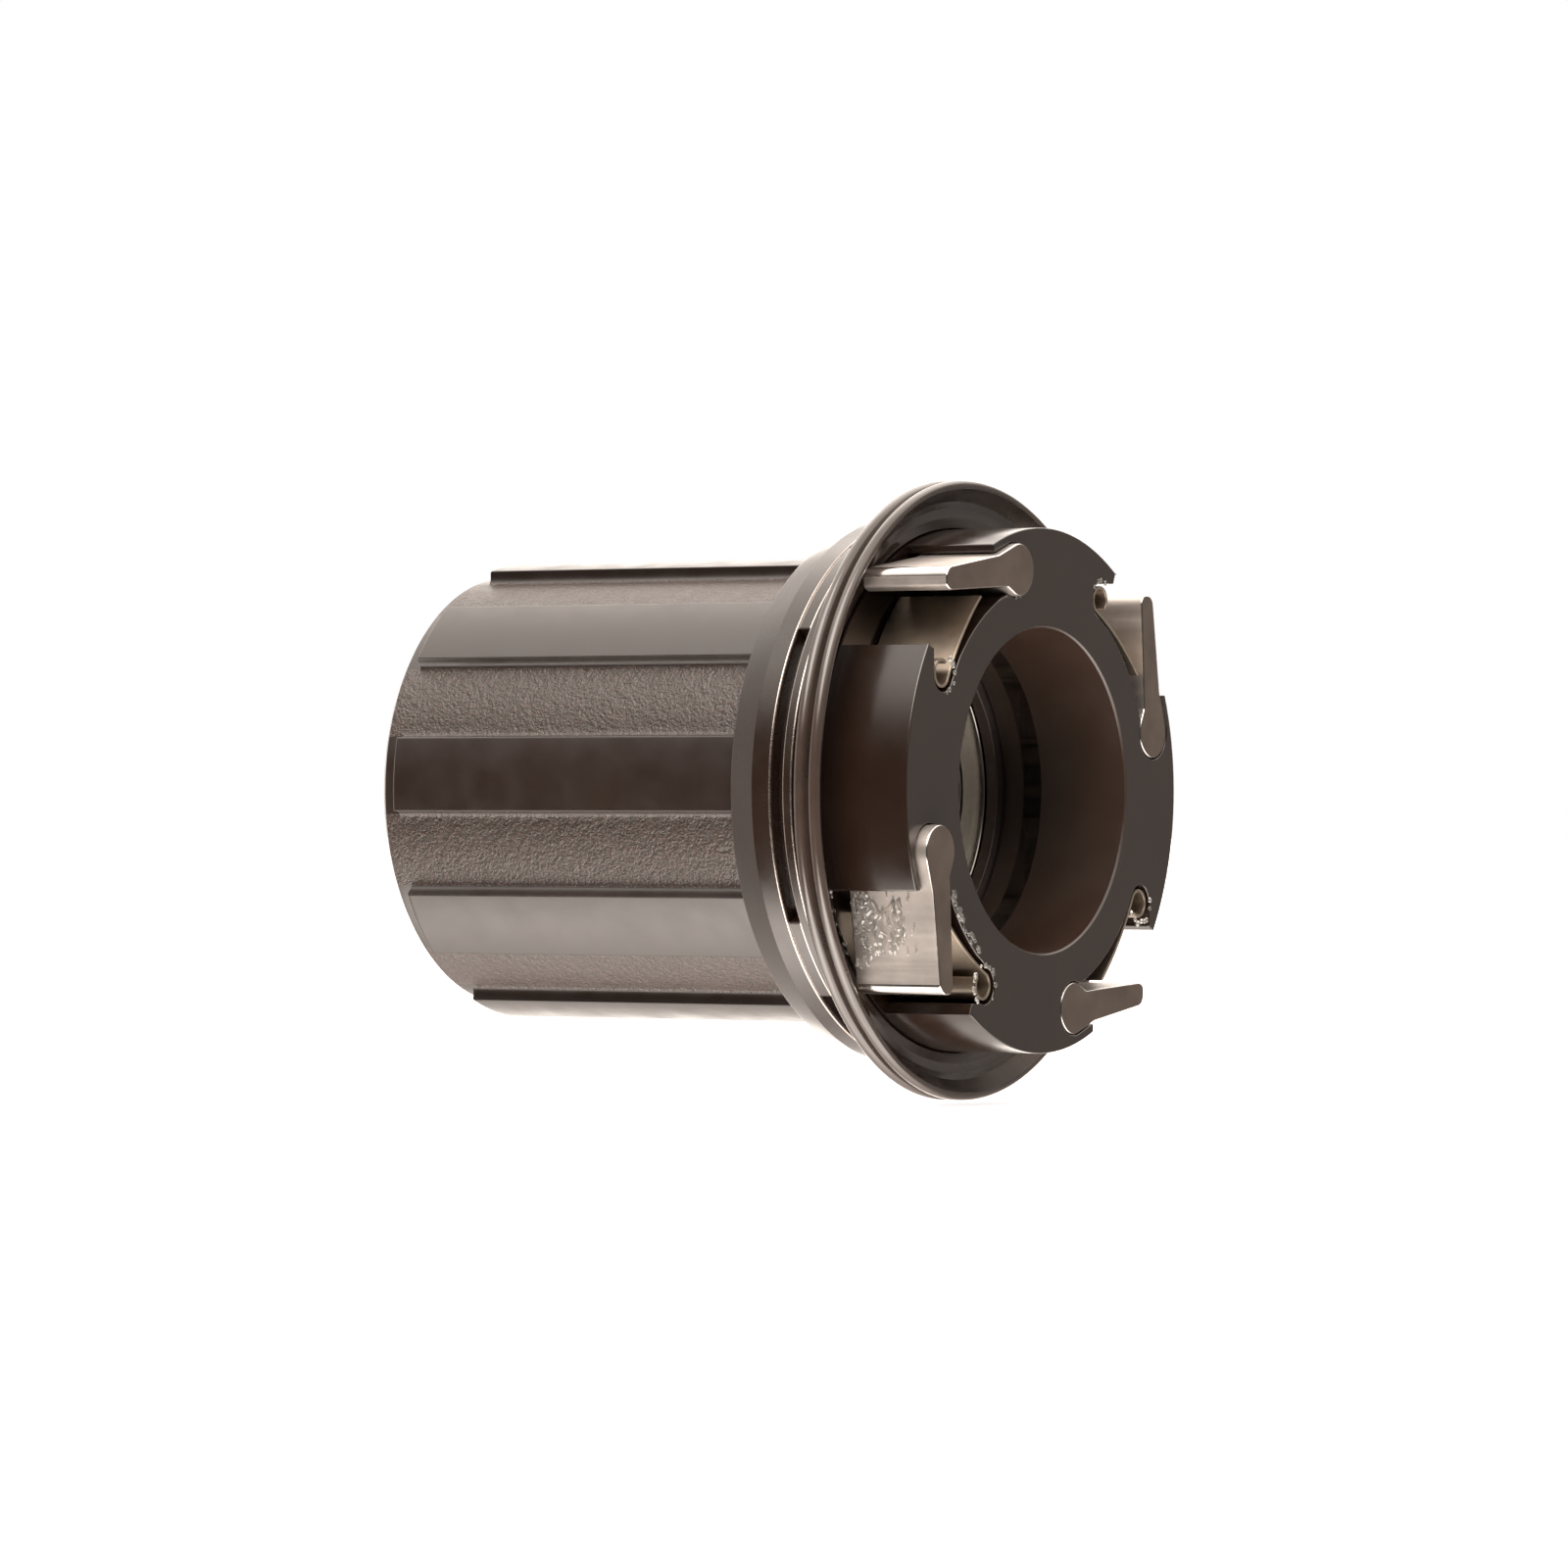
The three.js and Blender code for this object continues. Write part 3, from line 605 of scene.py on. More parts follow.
def surroundings():
    """Soft warm light from above and below, with patches behind the part, beside it, and
    high and low on the camera's side, in an otherwise dark room. The camera sees white."""
    world = bpy.data.worlds.new("studio")
    bpy.context.scene.world = world
    world.use_nodes = True
    tree = world.node_tree
    tree.nodes.clear()
    direction = tree.nodes.new("ShaderNodeTexCoord").outputs["Generated"]

    def cosine(axis):
        dot = tree.nodes.new("ShaderNodeVectorMath")
        dot.operation = "DOT_PRODUCT"
        dot.inputs[1].default_value = axis
        tree.links.new(direction, dot.inputs[0])
        return dot.outputs["Value"]

    def step(source, dark, bright, full):
        ramp = tree.nodes.new("ShaderNodeMapRange")
        ramp.interpolation_type = "SMOOTHSTEP"
        for socket, value in (("From Min", dark), ("From Max", bright), ("To Max", full)):
            ramp.inputs[socket].default_value = value
        tree.links.new(source, ramp.inputs["Value"])
        return ramp.outputs["Result"]

    def combine(operation, a, b):
        pick = tree.nodes.new("ShaderNodeMath")
        pick.operation = operation
        tree.links.new(a, pick.inputs[0])
        tree.links.new(b, pick.inputs[1])
        return pick.outputs["Value"]

    def strength(source, points):
        top = max(value for _, value in points)
        ramp = tree.nodes.new("ShaderNodeValToRGB")
        stops = ramp.color_ramp.elements
        while len(stops) < len(points):
            stops.new(0.5)
        for stop, (cosine_at, value) in zip(stops, points):
            stop.position = (cosine_at + 1) / 2
            stop.color = (*(value / top,) * 3, 1)
        shift = tree.nodes.new("ShaderNodeMapRange")
        shift.inputs["From Min"].default_value = -1
        tree.links.new(source, shift.inputs["Value"])
        tree.links.new(shift.outputs["Result"], ramp.inputs["Fac"])
        scale = tree.nodes.new("ShaderNodeMath")
        scale.operation = "MULTIPLY"
        scale.inputs[1].default_value = top
        tree.links.new(ramp.outputs["Color"], scale.inputs[0])
        return scale.outputs["Value"]

    height = cosine((0, 0, 1))
    away = cosine(VIEW_ALONG)
    above = combine("MULTIPLY", step(height, *LIGHT_ABOVE, 1), strength(away, ABOVE_STRENGTH))
    below = combine("MULTIPLY", step(height, *LIGHT_BELOW, 1), strength(away, BELOW_STRENGTH))
    glow = combine("MAXIMUM", above, below)
    for middle, (start, full), brightness in LIGHT_PATCHES:
        glow = combine("MAXIMUM", glow, step(cosine(middle), start, full, brightness))
    base = tree.nodes.new("ShaderNodeMath")
    base.inputs[1].default_value = DARK_SIDE
    tree.links.new(glow, base.inputs[0])
    lit = tree.nodes.new("ShaderNodeBackground")
    lit.inputs["Color"].default_value = (*LIGHT_TINT, 1)
    tree.links.new(base.outputs["Value"], lit.inputs["Strength"])
    seen = tree.nodes.new("ShaderNodeBackground")
    seen.inputs["Color"].default_value = (1, 1, 1, 1)
    mix = tree.nodes.new("ShaderNodeMixShader")
    path = tree.nodes.new("ShaderNodeLightPath")
    tree.links.new(path.outputs["Is Camera Ray"], mix.inputs["Fac"])
    tree.links.new(lit.outputs["Background"], mix.inputs[1])
    tree.links.new(seen.outputs["Background"], mix.inputs[2])
    output = tree.nodes.new("ShaderNodeOutputWorld")
    tree.links.new(mix.outputs["Shader"], output.inputs["Surface"])


def floor():
    """A pale glass table: white to the camera, while the light from below comes through."""
    low = SEAL_LOW.z - FLOOR_GAP
    signs = ((-1, -1), (1, -1), (1, 1), (-1, 1))
    corners = [(FLOOR_HALF * x, FLOOR_HALF * y, low) for x, y in signs]
    mesh = bpy.data.meshes.new("floor")
    mesh.from_pydata(corners, [], [(0, 1, 2, 3)])
    finish = Finish("floor_white", (FLOOR_GREY,) * 3, 0.7)
    finish.shader.inputs["Emission Color"].default_value = (1, 1, 1, 1)
    finish.shader.inputs["Emission Strength"].default_value = FLOOR_GLOW
    clear = finish.node("ShaderNodeBsdfTransparent")
    mix = finish.node("ShaderNodeMixShader")
    finish.link(finish.node("ShaderNodeLightPath").outputs["Is Camera Ray"], mix.inputs["Fac"])
    finish.link(clear.outputs["BSDF"], mix.inputs[1])
    finish.link(finish.shader.outputs["BSDF"], mix.inputs[2])
    finish.link(mix.outputs["Shader"], finish.tree.nodes["Material Output"].inputs["Surface"])
    mesh.materials.append(finish.material)
    plane = bpy.data.objects.new("floor", mesh)
    bpy.context.scene.collection.objects.link(plane)


# ---- splined drum ------------------------------------------------------------------------
def spline_wall(root, foot, top):
    """A ridge wall between two angles: a hollow foot that turns up steeply to the edge."""
    start, end = Vector(polar(SPLINE_ROOT_R, root)), Vector(polar(SPLINE_TOP_R, top))
    bend = Vector(polar(SPLINE_ROOT_R + SPLINE_FOOT_RISE, foot))
    steps = 6
    points = []
    for k in range(1, steps):
        t = k / steps
        points.append(tuple(start * (1 - t) ** 2 + bend * 2 * t * (1 - t) + end * t ** 2))
    return points


def spline_outline():
    points = []
    for i in range(SPLINES):
        centre = SPLINE_PHASE + i * SPLINE_PITCH
        before = INDEX_EXTRA if i == INDEX_RIDGES[1] else 0
        after = INDEX_EXTRA if i == INDEX_RIDGES[0] else 0
        foot_from = centre - SPLINE_ROOT_HALF - before
        foot_to = centre + SPLINE_ROOT_HALF + after
        top_from = centre - SPLINE_TOP_HALF - before
        top_to = centre + SPLINE_TOP_HALF + after
        groove_from = centre - SPLINE_PITCH / 2 + GROOVE_SEAM_HALF
        groove_to = centre + SPLINE_PITCH / 2 - GROOVE_SEAM_HALF
        points += arc((0, 0), SPLINE_ROOT_R, groove_from, foot_from, 5)
        points += spline_wall(foot_from, top_from - SPLINE_WALL_LEAN, top_from)
        points += arc((0, 0), SPLINE_TOP_R, top_from, top_to, 14)
        points += spline_wall(foot_to, top_to + SPLINE_WALL_LEAN, top_to)[::-1]
        points += arc((0, 0), SPLINE_ROOT_R, foot_to, groove_to, 5)
    return soften(points, 0.12, sharpest=22)


def drum():
    """The drum as rings of the spline outline, each held inside its own limiting radius."""
    outline = spline_outline()
    start = DRUM_END_LIMITS[-1][0]
    length = SHOULDER_AT + 0.05 - start
    steps = 14
    levels = [*DRUM_END_LIMITS]
    levels += [(start + length * k / steps, NO_LIMIT) for k in range(1, steps + 1)]
    rings = [[at(*(Vector(p).normalized() * END_FACE_R), 0.0) for p in outline]]
    for station, limit in levels:
        ring = []
        for point in outline:
            x, y = Vector(point) * min(limit / Vector(point).length, 1)
            ring.append(at(x, y, station))
        rings.append(ring)
    mesh = finish_mesh(skin(rings), "spline_drum", 30)
    piece = make_object("spline_drum", mesh, DRUM, BODY)
    mesh.materials.append(GROOVE)
    count = len(outline)
    low = [Vector(point).length < SPLINE_ROOT_R + GROOVE_REACH for point in outline]
    for index, face in enumerate(mesh.polygons):
        place = index % count
        past_cone = face.center.y > OUTBOARD_Y + END_CONE_LENGTH * MM
        if past_cone and low[place] and low[(place + 1) % count]:
            face.material_index = 1
    return piece


# ---- shoulder and slotted rim ------------------------------------------------------------
def rim():
    """The stop shoulder, and the slotted rim built up from rings and the webs between slots."""
    score_in = RIM_R - SCORE_DEPTH
    shoulder = soften([
        (CORE_R, SHOULDER_AT), (SHOULDER_R, SHOULDER_AT), (RIM_R, RIM_AT),
        (RIM_R, SCORE_AT - SCORE_HALF), (score_in, SCORE_AT), (SLOT_FLOOR_R, SCORE_AT),
        (SLOT_FLOOR_R - 0.3, SCORE_AT), (CORE_R, SCORE_AT),
    ], EDGE_ROUND)
    pieces = [turned("stop_shoulder", shoulder, RIM, BODY)]
    band = soften([
        (CORE_R, SLOT_TO), (RIM_R, SLOT_TO), (RIM_R, RIM_END), (CORE_R, RIM_END),
    ], BAND_ROUND)
    pieces.append(turned("rim_band", band, RIM, BODY))
    floor_band = [(CORE_R, SCORE_AT), (SLOT_FLOOR_R, SCORE_AT), (SLOT_FLOOR_R, SLOT_TO),
                  (CORE_R, SLOT_TO)]
    pieces.append(turned("slot_floor", floor_band, RIM, BODY))
    relief = [(CORE_R, RIM_END), (SEAL_RELIEF_R, RIM_END), (SEAL_RELIEF_R, CARRIER_FROM),
              (CORE_R, CARRIER_FROM)]
    pieces.append(turned("seal_relief", relief, RIM, BODY))
    spans = sorted(SLOT_SPANS)
    for i, (start, end) in enumerate(spans):
        web_to = spans[(i + 1) % len(spans)][0] + (360 if i == len(spans) - 1 else 0)
        outline = arc((0, 0), RIM_R, end, web_to, 30)
        outline += arc((0, 0), WEB_INNER_R, web_to, end, 30)
        pieces.append(slab(f"rim_web_{i + 1}", soften(outline, EDGE_ROUND), SCORE_AT - 0.01,
                           SLOT_TO + 0.1, RIM, BODY, edge=EDGE_ROUND))
    # Faces on the rounded edges near the rim's top take the bright steel: a painted highlight.
    for piece in pieces:
        piece.data.materials.append(RIM_EDGE_HIGHLIGHT)
        for face in piece.data.polygons:
            near_top = math.hypot(face.center.x, face.center.z) > (RIM_R - RIM_HIGHLIGHT_WIDTH) * MM
            past_cone = face.center.y > OUTBOARD_Y + RIM_HIGHLIGHT_FROM * MM
            if near_top and past_cone and RIM_HIGHLIGHT_SLOPES[0] < abs(face.normal.y) < RIM_HIGHLIGHT_SLOPES[1]:
                face.material_index = 1
    return pieces


# ---- bores, lockring thread --------------------------------------------------------------
def ring_groove(first, last):
    return [(BORE_R, first), (RING_GROOVE_R, first), (RING_GROOVE_R, last), (BORE_R, last)]


def bore():
    ring_in = station_of("inboard_snap_ring")
    ring_out = station_of("outboard_snap_ring")
    seat_in = station_of("inboard_outer_race")
    seat_out = station_of("outboard_outer_race")
    mouth = [(END_FACE_R, 0.0), (LOCKRING_R + 0.02, 0.25), (LOCKRING_R, THREAD_FROM)]
    lining = [
        (LOCKRING_R + THREAD_RELIEF, THREAD_TO), (LOCKRING_R + THREAD_RELIEF, LOCKRING_DEPTH),
        (BORE_R, LOCKRING_DEPTH),
        *ring_groove(ring_out[0] - RING_PLAY_OUTWARD, ring_out[1] + RING_PLAY),
        (BORE_R, seat_out[1] + SEAT_PLAY), (CENTRE_BORE_R, seat_out[1] + SEAT_PLAY),
        (CENTRE_BORE_R, seat_in[0] - SEAT_PLAY), (BORE_R, seat_in[0] - SEAT_PLAY),
        *ring_groove(ring_in[0] - RING_PLAY, ring_in[1] + RING_PLAY_OUTWARD),
        (BORE_R, BODY_LENGTH - BORE_MOUTH_DEPTH), (BORE_MOUTH_R, BODY_LENGTH),
    ]
    pieces = []
    for name, profile, radius in (("bore_lining", lining, 0.06), ("socket_mouth", mouth, 0.05)):
        rounded = soften(profile, radius, closed=False)
        pieces.append(turned(name, rounded, BORE, BODY, closed=False))
    pieces.append(lockring_thread())
    return pieces


def lockring_thread():
    """The socket's internal thread, as one helical sheet."""
    per_turn = 12
    rows = int((THREAD_TO - THREAD_FROM) / THREAD_PITCH * per_turn)
    rings = []
    for row in range(rows + 1):
        station = THREAD_FROM + (THREAD_TO - THREAD_FROM) * row / rows
        fade = min(1.0, (station - THREAD_FROM) / THREAD_FADE)
        ring = []
        for i in range(FINE):
            degrees = 360 * i / FINE
            phase = (station / THREAD_PITCH - degrees / 360) % 1.0
            crest = min(max(THREAD_FLANK * abs(phase - 0.5) - THREAD_ROOT, 0.0), 1.0)
            radius = LOCKRING_R + THREAD_DEPTH * (1 - crest) * fade
            if row == rows:
                radius = LOCKRING_R + THREAD_RELIEF
            x, y = polar(radius, degrees)
            ring.append(at(x, y, station))
        rings.append(ring)
    mesh = finish_mesh(skin(rings), "lockring_thread", 50)
    return make_object("lockring_thread", mesh, BORE, BODY)


# ---- pawl carrier ------------------------------------------------------------------------
def pocket_edge():
    """One quarter of the carrier's outline, from lobe to lobe, material on the left."""
    lip_angle = math.degrees(math.atan2(LIP_OUT[1], LIP_OUT[0]))
    hole_top = SPRING_HOLE[1] + polar(SPRING_HOLE_R, SPRING_HOLE_SPAN[1])[1]
    points = arc((0, 0), CARRIER_R, LOBE_FROM, lip_angle, 34)
    points.append(LIP_IN)
    points += arc(PIVOT, SOCKET_R, *SOCKET_SPAN, 26)
    points += arc((0, 0), POCKET_FLOOR_R, *POCKET_FLOOR_SPAN, 16)
    points += arc(SPRING_HOLE, SPRING_HOLE_R, *SPRING_HOLE_SPAN, 18)
    points += [(POCKET_WALL_X, hole_top), POCKET_NOSE]
    return points


def carrier():
    quarter = pocket_edge()
    outline = []
    for k in range(4):
        outline += [turn(point, 90 * k) for point in quarter]
    outline = soften(outline, POCKET_ROUND, sharpest=18)
    hole = list(reversed(arc((0, 0), BORE_MOUTH_R, 0, 360 - 360 / FINE, FINE - 1)))
    pieces = [slab("pawl_carrier", outline, POCKET_FROM, BODY_LENGTH, CARRIER, BODY,
                   edge=EDGE_ROUND, hole=hole, both=False)]
    back = [(BORE_R, CARRIER_FROM), (CARRIER_R, CARRIER_FROM), (CARRIER_R, POCKET_FROM),
            (BORE_R, POCKET_FROM)]
    pieces.append(turned("carrier_back", back, CARRIER, BODY))
    return pieces


# ---- pawls and springs -------------------------------------------------------------------
def pawl_outline():
    """The head about the pivot, the arm's outer side and rounded corner, then the nose."""
    head = arc(PIVOT, PAWL_HEAD_R, *PAWL_HEAD_SPAN, 30)
    outer = arc(PAWL_CORNER, PAWL_CORNER_R, PAWL_CORNER_FROM, 90, 10)
    inner = [(PAWL_NOSE[0] + PAWL_NOSE_HALF[0] * x, PAWL_NOSE[1] + PAWL_NOSE_HALF[1] * y)
             for x, y in arc((0, 0), 1, 90, 180, 10)]
    return head + [PAWL_SHOULDER] + outer + inner + [PAWL_NECK]


def pawl(index):
    node = f"pawl_{index + 1}"
    start, end = station_of(node)
    outline = soften([turn(p, 90 * index) for p in pawl_outline()], 0.25, sharpest=17)
    piece = slab(f"{node}_ground", outline, start, end, PAWL_STEEL, f"{node}_body", edge=0.12)
    piece.data.materials.append(PAWL_GROUND)
    piece.data.materials.append(PAWL_EDGE_HIGHLIGHT)
    for face in piece.data.polygons:
        slope = abs(face.normal.y)
        x, y = turn((-face.center.x / MM, face.center.z / MM), -90 * index)
        # Edge faces and the rounded outer corner at the tip take the bright steel as a painted
        # highlight.
        corner = x > PAWL_CORNER[0] + 0.1 and y > PAWL_CORNER[1] + 0.15
        if slope < PAWL_FLAT_SLOPE:
            face.material_index = 2 if slope > PAWL_EDGE_SLOPE or corner else 1
    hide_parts(node)


def spring_edge(radius):
    """One side of the strip: around the loop, then out along the bowed leaf."""
    along = polar(1, SPRING_LOOP_TO + 90)
    start = polar(radius, SPRING_LOOP_TO)
    points = arc(SPRING_HOLE, radius, SPRING_LOOP_FROM, SPRING_LOOP_TO, 28)
    steps = 12
    for k in range(1, steps + 1):
        share = k / steps
        reach = SPRING_LEAF * share
        bow = 4 * SPRING_BOW * share * (1 - share)
        points.append((SPRING_HOLE[0] + start[0] + along[0] * reach - along[1] * bow,
                       SPRING_HOLE[1] + start[1] + along[1] * reach + along[0] * bow))
    return points


def spring(index):
    """The strip, from its loop round the spring hole out along its bowed leaf, as one piece tied
    to no body.
    """
    node = f"pawl_spring_{index + 1}"
    start, end = station_of(node)
    outer = spring_edge(SPRING_LOOP_R)
    inner = spring_edge(SPRING_LOOP_R - SPRING_THICKNESS)
    outline = soften([turn(p, 90 * index) for p in outer + inner[::-1]], 0.08, sharpest=30)
    piece = slab(f"{node}_strip", outline, start, end, SPRING_STEEL, None, edge=0.05, steps=2)
    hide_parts(node)
    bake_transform(piece)


# ---- lip seal ----------------------------------------------------------------------------
def seal_lip(station, last):
    """A lip's rounded rim, from its outboard side over the top to the angle `last`."""
    return [(SEAL_R - SEAL_LIP_BEAD + x, station + y) for x, y in
            (polar(SEAL_LIP_BEAD, degrees) for degrees in range(-75, last + 1, 15))]


def seal_warp(radius, _, degrees):
    """How far the seal leans towards the carrier: most on one side, with a slight ripple."""
    lean = max(0.0, -math.cos(math.radians(degrees)))
    reach = min(max((radius - SEAL_FIRM_R) / SEAL_FIRM_WIDTH, 0.0), 1.0)
    ripple = SEAL_RIPPLE * noise.noise(Vector((*polar(3, degrees), 0.4)))
    return reach * (lean * SEAL_LEAN + ripple)


def seal():
    profile = [*SEAL_BACK, *seal_lip(SEAL_LIPS[0], 75), (SEAL_VALLEY_R, sum(SEAL_LIPS) / 2),
               *seal_lip(SEAL_LIPS[1], 105), *SEAL_FACE]
    piece = turned("lip_seal_ring", soften(profile, 0.12), RUBBER, BODY,
                   segments=SEAL_SEGMENTS, shift=seal_warp)
    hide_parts("lip_seal")


# ---- bearings, spacer and snap rings -----------------------------------------------------
def bearing(end):
    start, stop = station_of(f"{end}_outer_race")
    middle = (start + stop) / 2
    track = (middle - TRACK_HALF, middle + TRACK_HALF)
    outer = [(OUTER_RACE_MOUTH_R, start), (OUTER_RACE_R, start), (OUTER_RACE_R, stop),
             (OUTER_RACE_MOUTH_R, stop), (OUTER_RACE_WALL_R, stop - OUTER_RACE_CHAMFER),
             (OUTER_RACE_WALL_R, track[1]), (OUTER_RACE_TRACK_R, track[1]),
             (OUTER_RACE_TRACK_R, track[0]), (OUTER_RACE_WALL_R, track[0]),
             (OUTER_RACE_WALL_R, start + OUTER_RACE_CHAMFER)]
    inner = [(INNER_RACE_R, start), (INNER_RACE_WALL_R, start), (INNER_RACE_WALL_R, track[0]),
             (INNER_RACE_TRACK_R, track[0]), (INNER_RACE_TRACK_R, track[1]),
             (INNER_RACE_WALL_R, track[1]), (INNER_RACE_WALL_R, stop), (INNER_RACE_R, stop)]
    piece = turned(f"{end}_outer_race_ring", soften(outer, 0.12), RACE_STEEL, BODY)
    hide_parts(f"{end}_outer_race")
    piece = turned(f"{end}_inner_race_ring", soften(inner, 0.14), RACE_STEEL, "axle_sleeve")
    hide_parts(f"{end}_inner_race")
    for side in ("outer", "inner"):
        node = f"{end}_shield_{side}"
        low, high = station_of(node)
        back, face = (low, high) if low > middle else (high, low)
        sunk = face - SHIELD_SINK if low > middle else face + SHIELD_SINK
        rise_in, rise_out = SHIELD_PANEL
        profile = [(SHIELD_INNER_R, back), (SHIELD_INNER_R, face), (rise_in[0], face),
                   (rise_in[1], sunk), (rise_out[0], sunk), (rise_out[1], face),
                   (SHIELD_OUTER_R, face), (SHIELD_OUTER_R, back)]
        piece = turned(f"{node}_cover", soften(profile, 0.08), SHIELD, BODY)
        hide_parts(node)


def spacer():
    start, stop = station_of("bearing_spacer")
    inner, outer = SPACER_R
    profile = soften([(inner, start), (outer, start), (outer, stop), (inner, stop)], 0.15)
    piece = turned("bearing_spacer_tube", profile, SPACER_METAL, "axle_sleeve")
    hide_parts("bearing_spacer")


def snap_ring(end, gap_angle):
    node = f"{end}_snap_ring"
    start, stop = station_of(node)
    ends = (gap_angle + SNAP_RING_GAP_HALF, gap_angle + 360 - SNAP_RING_GAP_HALF)
    outline = arc((0, 0), SNAP_RING_R[1], ends[0], ends[1], 150)
    outline += arc((0, 0), SNAP_RING_R[0], ends[1], ends[0], 150)
    piece = slab(f"{node}_wire", soften(outline, 0.2), start, stop, RING_STEEL, BODY, edge=0.08)
    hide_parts(node)


# ---- grease ------------------------------------------------------------------------------
def grease_sheet(name, body, place, across, along, thickness, seed):
    """A wrinkled film over a patch; its ragged rim dips under the surface it lies on."""
    step = 0.08
    columns, rows = int(across / step), int(along / step)
    # wet is 1 well inside the patch and falls to 0 at its ragged rim; ridge draws the folds.
    shift = Vector((seed * 3.1, seed * 1.7, seed))
    bm = bmesh.new()
    grid = []
    for i in range(columns + 1):
        line = []
        for j in range(rows + 1):
            u, v = across * i / columns, along * j / rows
            spot = Vector((u, v, 0)) + shift
            rim_u = 1 - abs(2 * i / columns - 1)
            rim_v = 1 - abs(2 * j / rows - 1)
            wet = min(rim_u, rim_v) * 2.6 + 0.9 * noise.noise(spot * 0.8) - 0.15
            wet = min(max(wet, 0.0), 1.0)
            folded = spot + Vector((noise.noise(spot * 0.9), noise.noise(spot * 1.3), 0)) * 0.9
            ridge = 1 - abs(noise.noise(Vector((folded.x * 1.5, folded.y * 0.9, seed)))) * 3.2
            lump = 0.30 + 0.30 * noise.noise(spot * 2.3) + 0.60 * max(ridge, 0) ** 1.5
            height = wet * thickness * lump - 0.10 * (1 - wet)
            line.append(bm.verts.new(place(u, v, height)))
        grid.append(line)
    for i in range(columns):
        for j in range(rows):
            bm.faces.new((grid[i][j], grid[i + 1][j], grid[i + 1][j + 1], grid[i][j + 1]))
    make_object(name, finish_mesh(bm, name, ALL_SMOOTH), GREASE, body)


def grease_drops(name, body, place, across, along, count, size, stretch, seed):
    """Small drops strewn over a patch, drawn out along it and half sunk into the surface."""
    rng = random.Random(seed)
    bm = bmesh.new()
    for _ in range(count):
        u, v = rng.uniform(0, across), rng.uniform(0, along)
        radius = size * rng.uniform(0.35, 1.0)
        lean = rng.uniform(-0.5, 0.5)
        drawn = rng.uniform(1.0, stretch)
        drop = bmesh.ops.create_icosphere(bm, subdivisions=DROP_SMOOTHNESS, radius=1)["verts"]
        for vert in drop:
            swell = 1 + 0.45 * noise.noise(vert.co * 1.5 + Vector((u, v, seed)) * 5)
            out = vert.co * swell * radius
            vert.co = place(u + out.x + lean * out.y, v + out.y * drawn, out.z * 0.7)
    make_object(name, finish_mesh(bm, name, ALL_SMOOTH), GREASE, body)


def grease_beads(name, body, spots, size, seed):
    """Small flattened drops, each half sunk into the surface under it."""
    rng = random.Random(seed)
    bm = bmesh.new()
    for x, y, station in spots:
        radius = size * rng.uniform(0.55, 1.0)
        middle = Vector((x + rng.uniform(-0.08, 0.08), y + rng.uniform(-0.08, 0.08)))
        drop = bmesh.ops.create_icosphere(bm, subdivisions=DROP_SMOOTHNESS, radius=1)["verts"]
        for vert in drop:
            swell = 1 + 0.3 * noise.noise(vert.co * 1.4 + Vector((x, y, station)) * 5)
            out = vert.co * swell * radius
            vert.co = at(middle.x + out.x, middle.y + out.y, station + out.z * 0.55)
    make_object(name, finish_mesh(bm, name, ALL_SMOOTH), GREASE, body)


def on_pawl_side(index, start):
    """Places (along the axis, out along the arm, height) on a pawl's outer side."""
    foot = Vector(PAWL_SHOULDER)
    arm = (Vector(PAWL_TIP) - foot).normalized()
    outward = Vector((arm.y, -arm.x))

    def place(u, v, height):
        return at(*turn(tuple(foot + arm * v + outward * height), 90 * index), start + u)
    return place


def on_cylinder(radius, from_degrees, start):
    """Places (along the axis, around the circle, height) on a cylinder."""
    def place(u, v, height):
        degrees = from_degrees + math.degrees(v / radius)
        return at(*polar(radius + height, degrees), start + u)
    return place


def on_carrier_face(radius, from_degrees):
    """Places (outwards, around the circle, height) on the carrier's end face."""
    def place(u, v, height):
        degrees = from_degrees + math.degrees(v / radius)
        return at(*polar(radius + u, degrees), BODY_LENGTH + height)
    return place


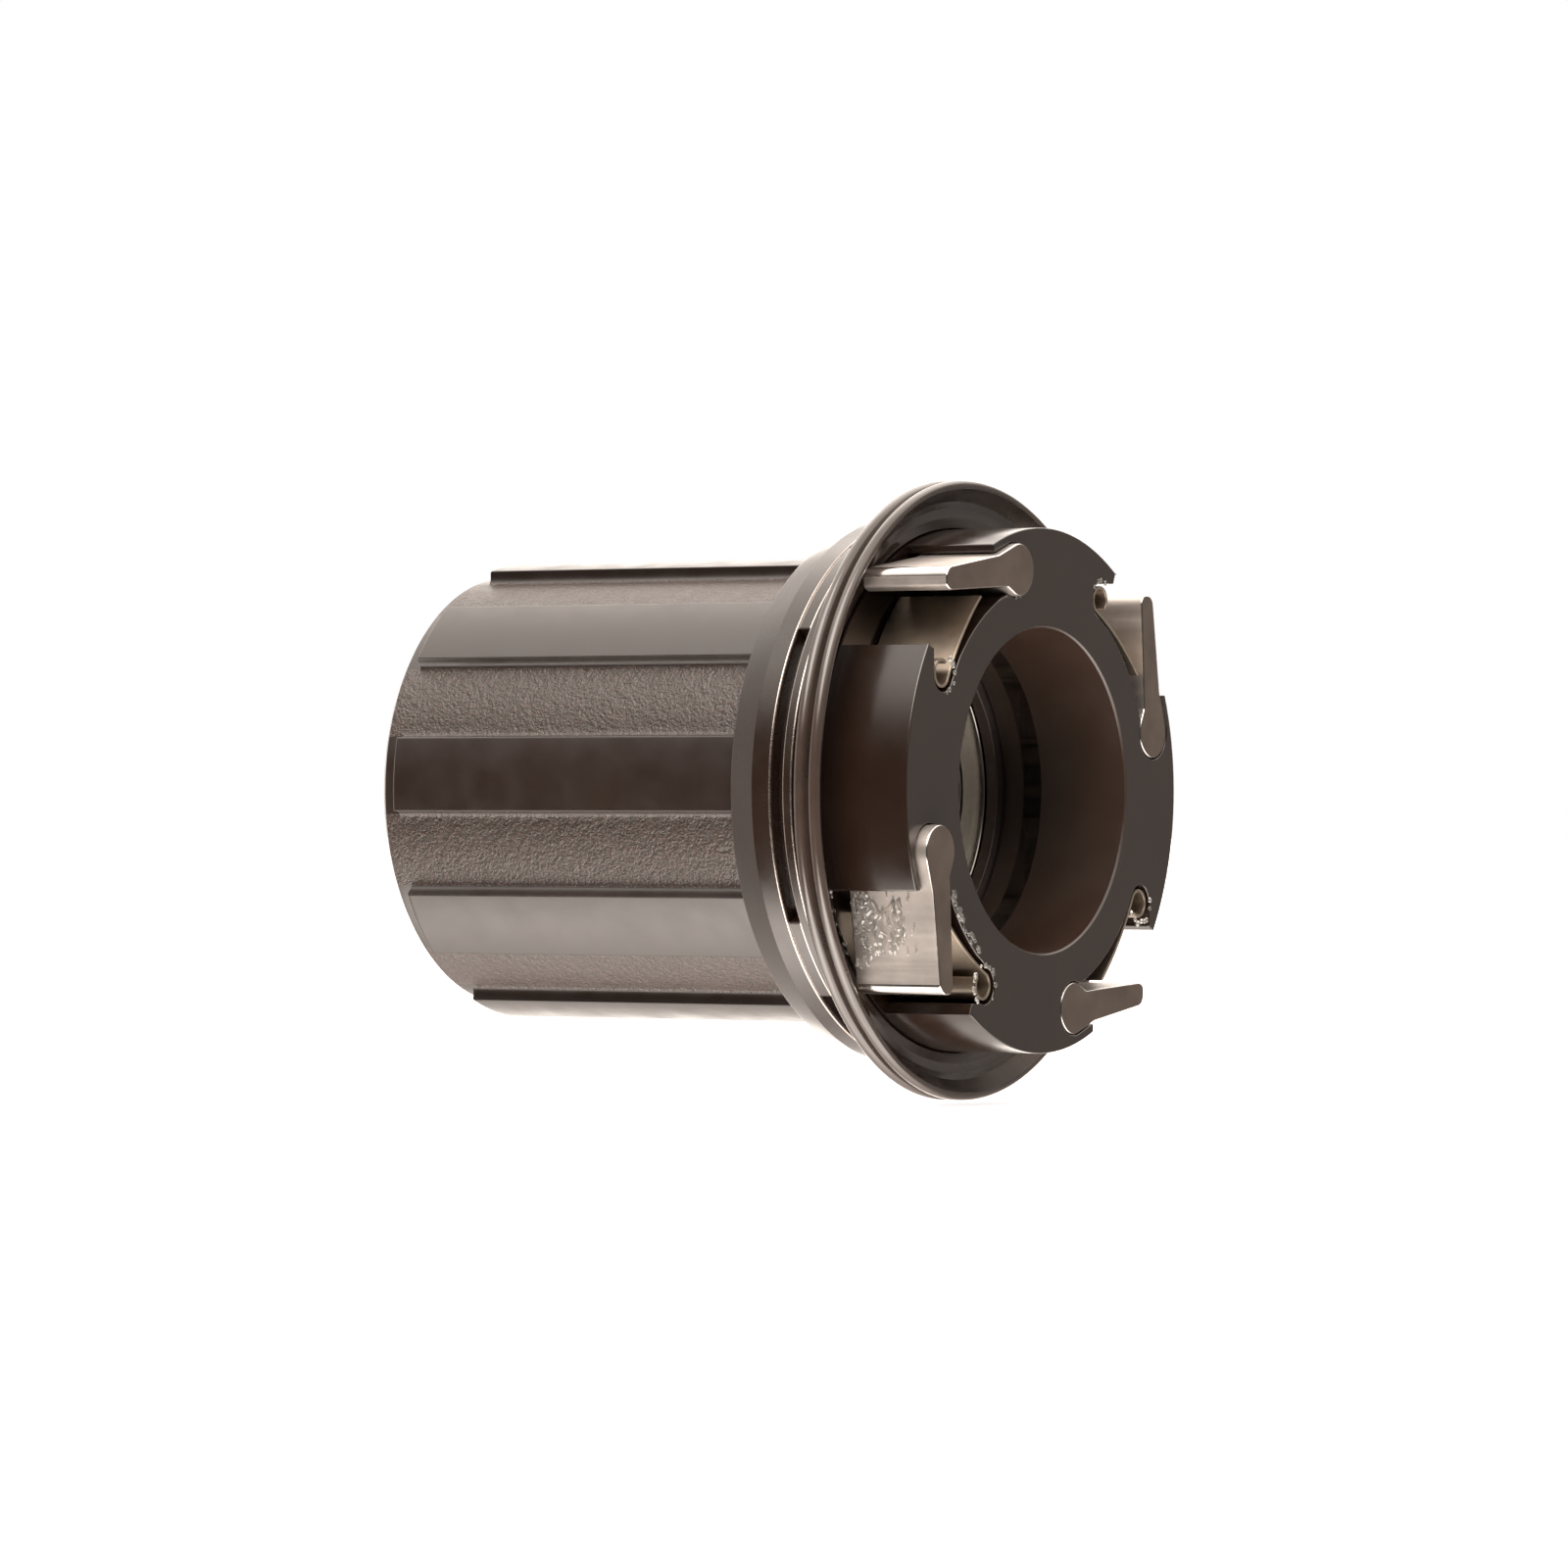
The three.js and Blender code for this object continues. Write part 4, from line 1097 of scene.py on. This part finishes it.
def grease():
    side = station_of("pawl_3")[0]
    pawl_side = on_pawl_side(2, side + 0.2)
    grease_sheet("grease_on_pawl_3", "pawl_3_body", on_pawl_side(2, side + 0.1),
                 across=5.0, along=5.0, thickness=0.22, seed=3)
    grease_drops("grease_streaks_pawl_3", "pawl_3_body", pawl_side,
                 across=5.2, along=4.4, count=34, size=0.15, stretch=4.5, seed=5)
    grease_drops("grease_edge_pawl_3", "pawl_3_body", pawl_side,
                 across=1.3, along=5.4, count=36, size=0.27, stretch=1.8, seed=8)
    grease_drops("grease_behind_pawl_3", BODY, on_cylinder(CARRIER_R - 0.1, 201.5, 40.1),
                 across=1.0, along=5.4, count=40, size=0.26, stretch=1.6, seed=7)
    grease_drops("grease_by_pocket_3", BODY, on_carrier_face(GREASE_RING_FROM, 210),
                 across=0.5, along=5.6, count=30, size=0.22, stretch=2.0, seed=12)
    rng = random.Random(61)
    for index, (first, last) in enumerate(HOLE_BEAD_SPANS):
        hole = turn(SPRING_HOLE, 90 * index)
        spots = []
        degrees = first
        while degrees < last:
            x, y = polar(SPRING_HOLE_R + rng.uniform(*HOLE_BEAD_OFFSETS), degrees)
            spots.append((hole[0] + x, hole[1] + y, BODY_LENGTH - 0.02))
            degrees += rng.uniform(*HOLE_BEAD_STEPS)
        grease_beads(f"grease_round_hole_{index + 1}", BODY, spots, size=0.24, seed=30 + index)
    head = turn(PIVOT, 90)
    edge = [polar(SOCKET_R + 0.1, degrees) for degrees in PAWL_2_BEADS]
    grease_beads("grease_round_pawl_2", BODY,
                 [(head[0] + x, head[1] + y, BODY_LENGTH) for x, y in edge], size=0.15, seed=44)


# ---- build -------------------------------------------------------------------------------
camera()
surroundings()
floor()

body_pieces = [drum(), *rim(), *bore(), *carrier()]
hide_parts("cassette_body")
for number in range(4):
    pawl(number)
    spring(number)
seal()
for bearing_end in ("outboard", "inboard"):
    bearing(bearing_end)
    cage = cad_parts[f"{bearing_end}_ball_cage"]
    cage.data.materials.clear()
    cage.data.materials.append(CAGE_STEEL)
spacer()
snap_ring("inboard", 270)
snap_ring("outboard", 90)
grease()

bpy.context.scene.view_settings.view_transform = "Standard"
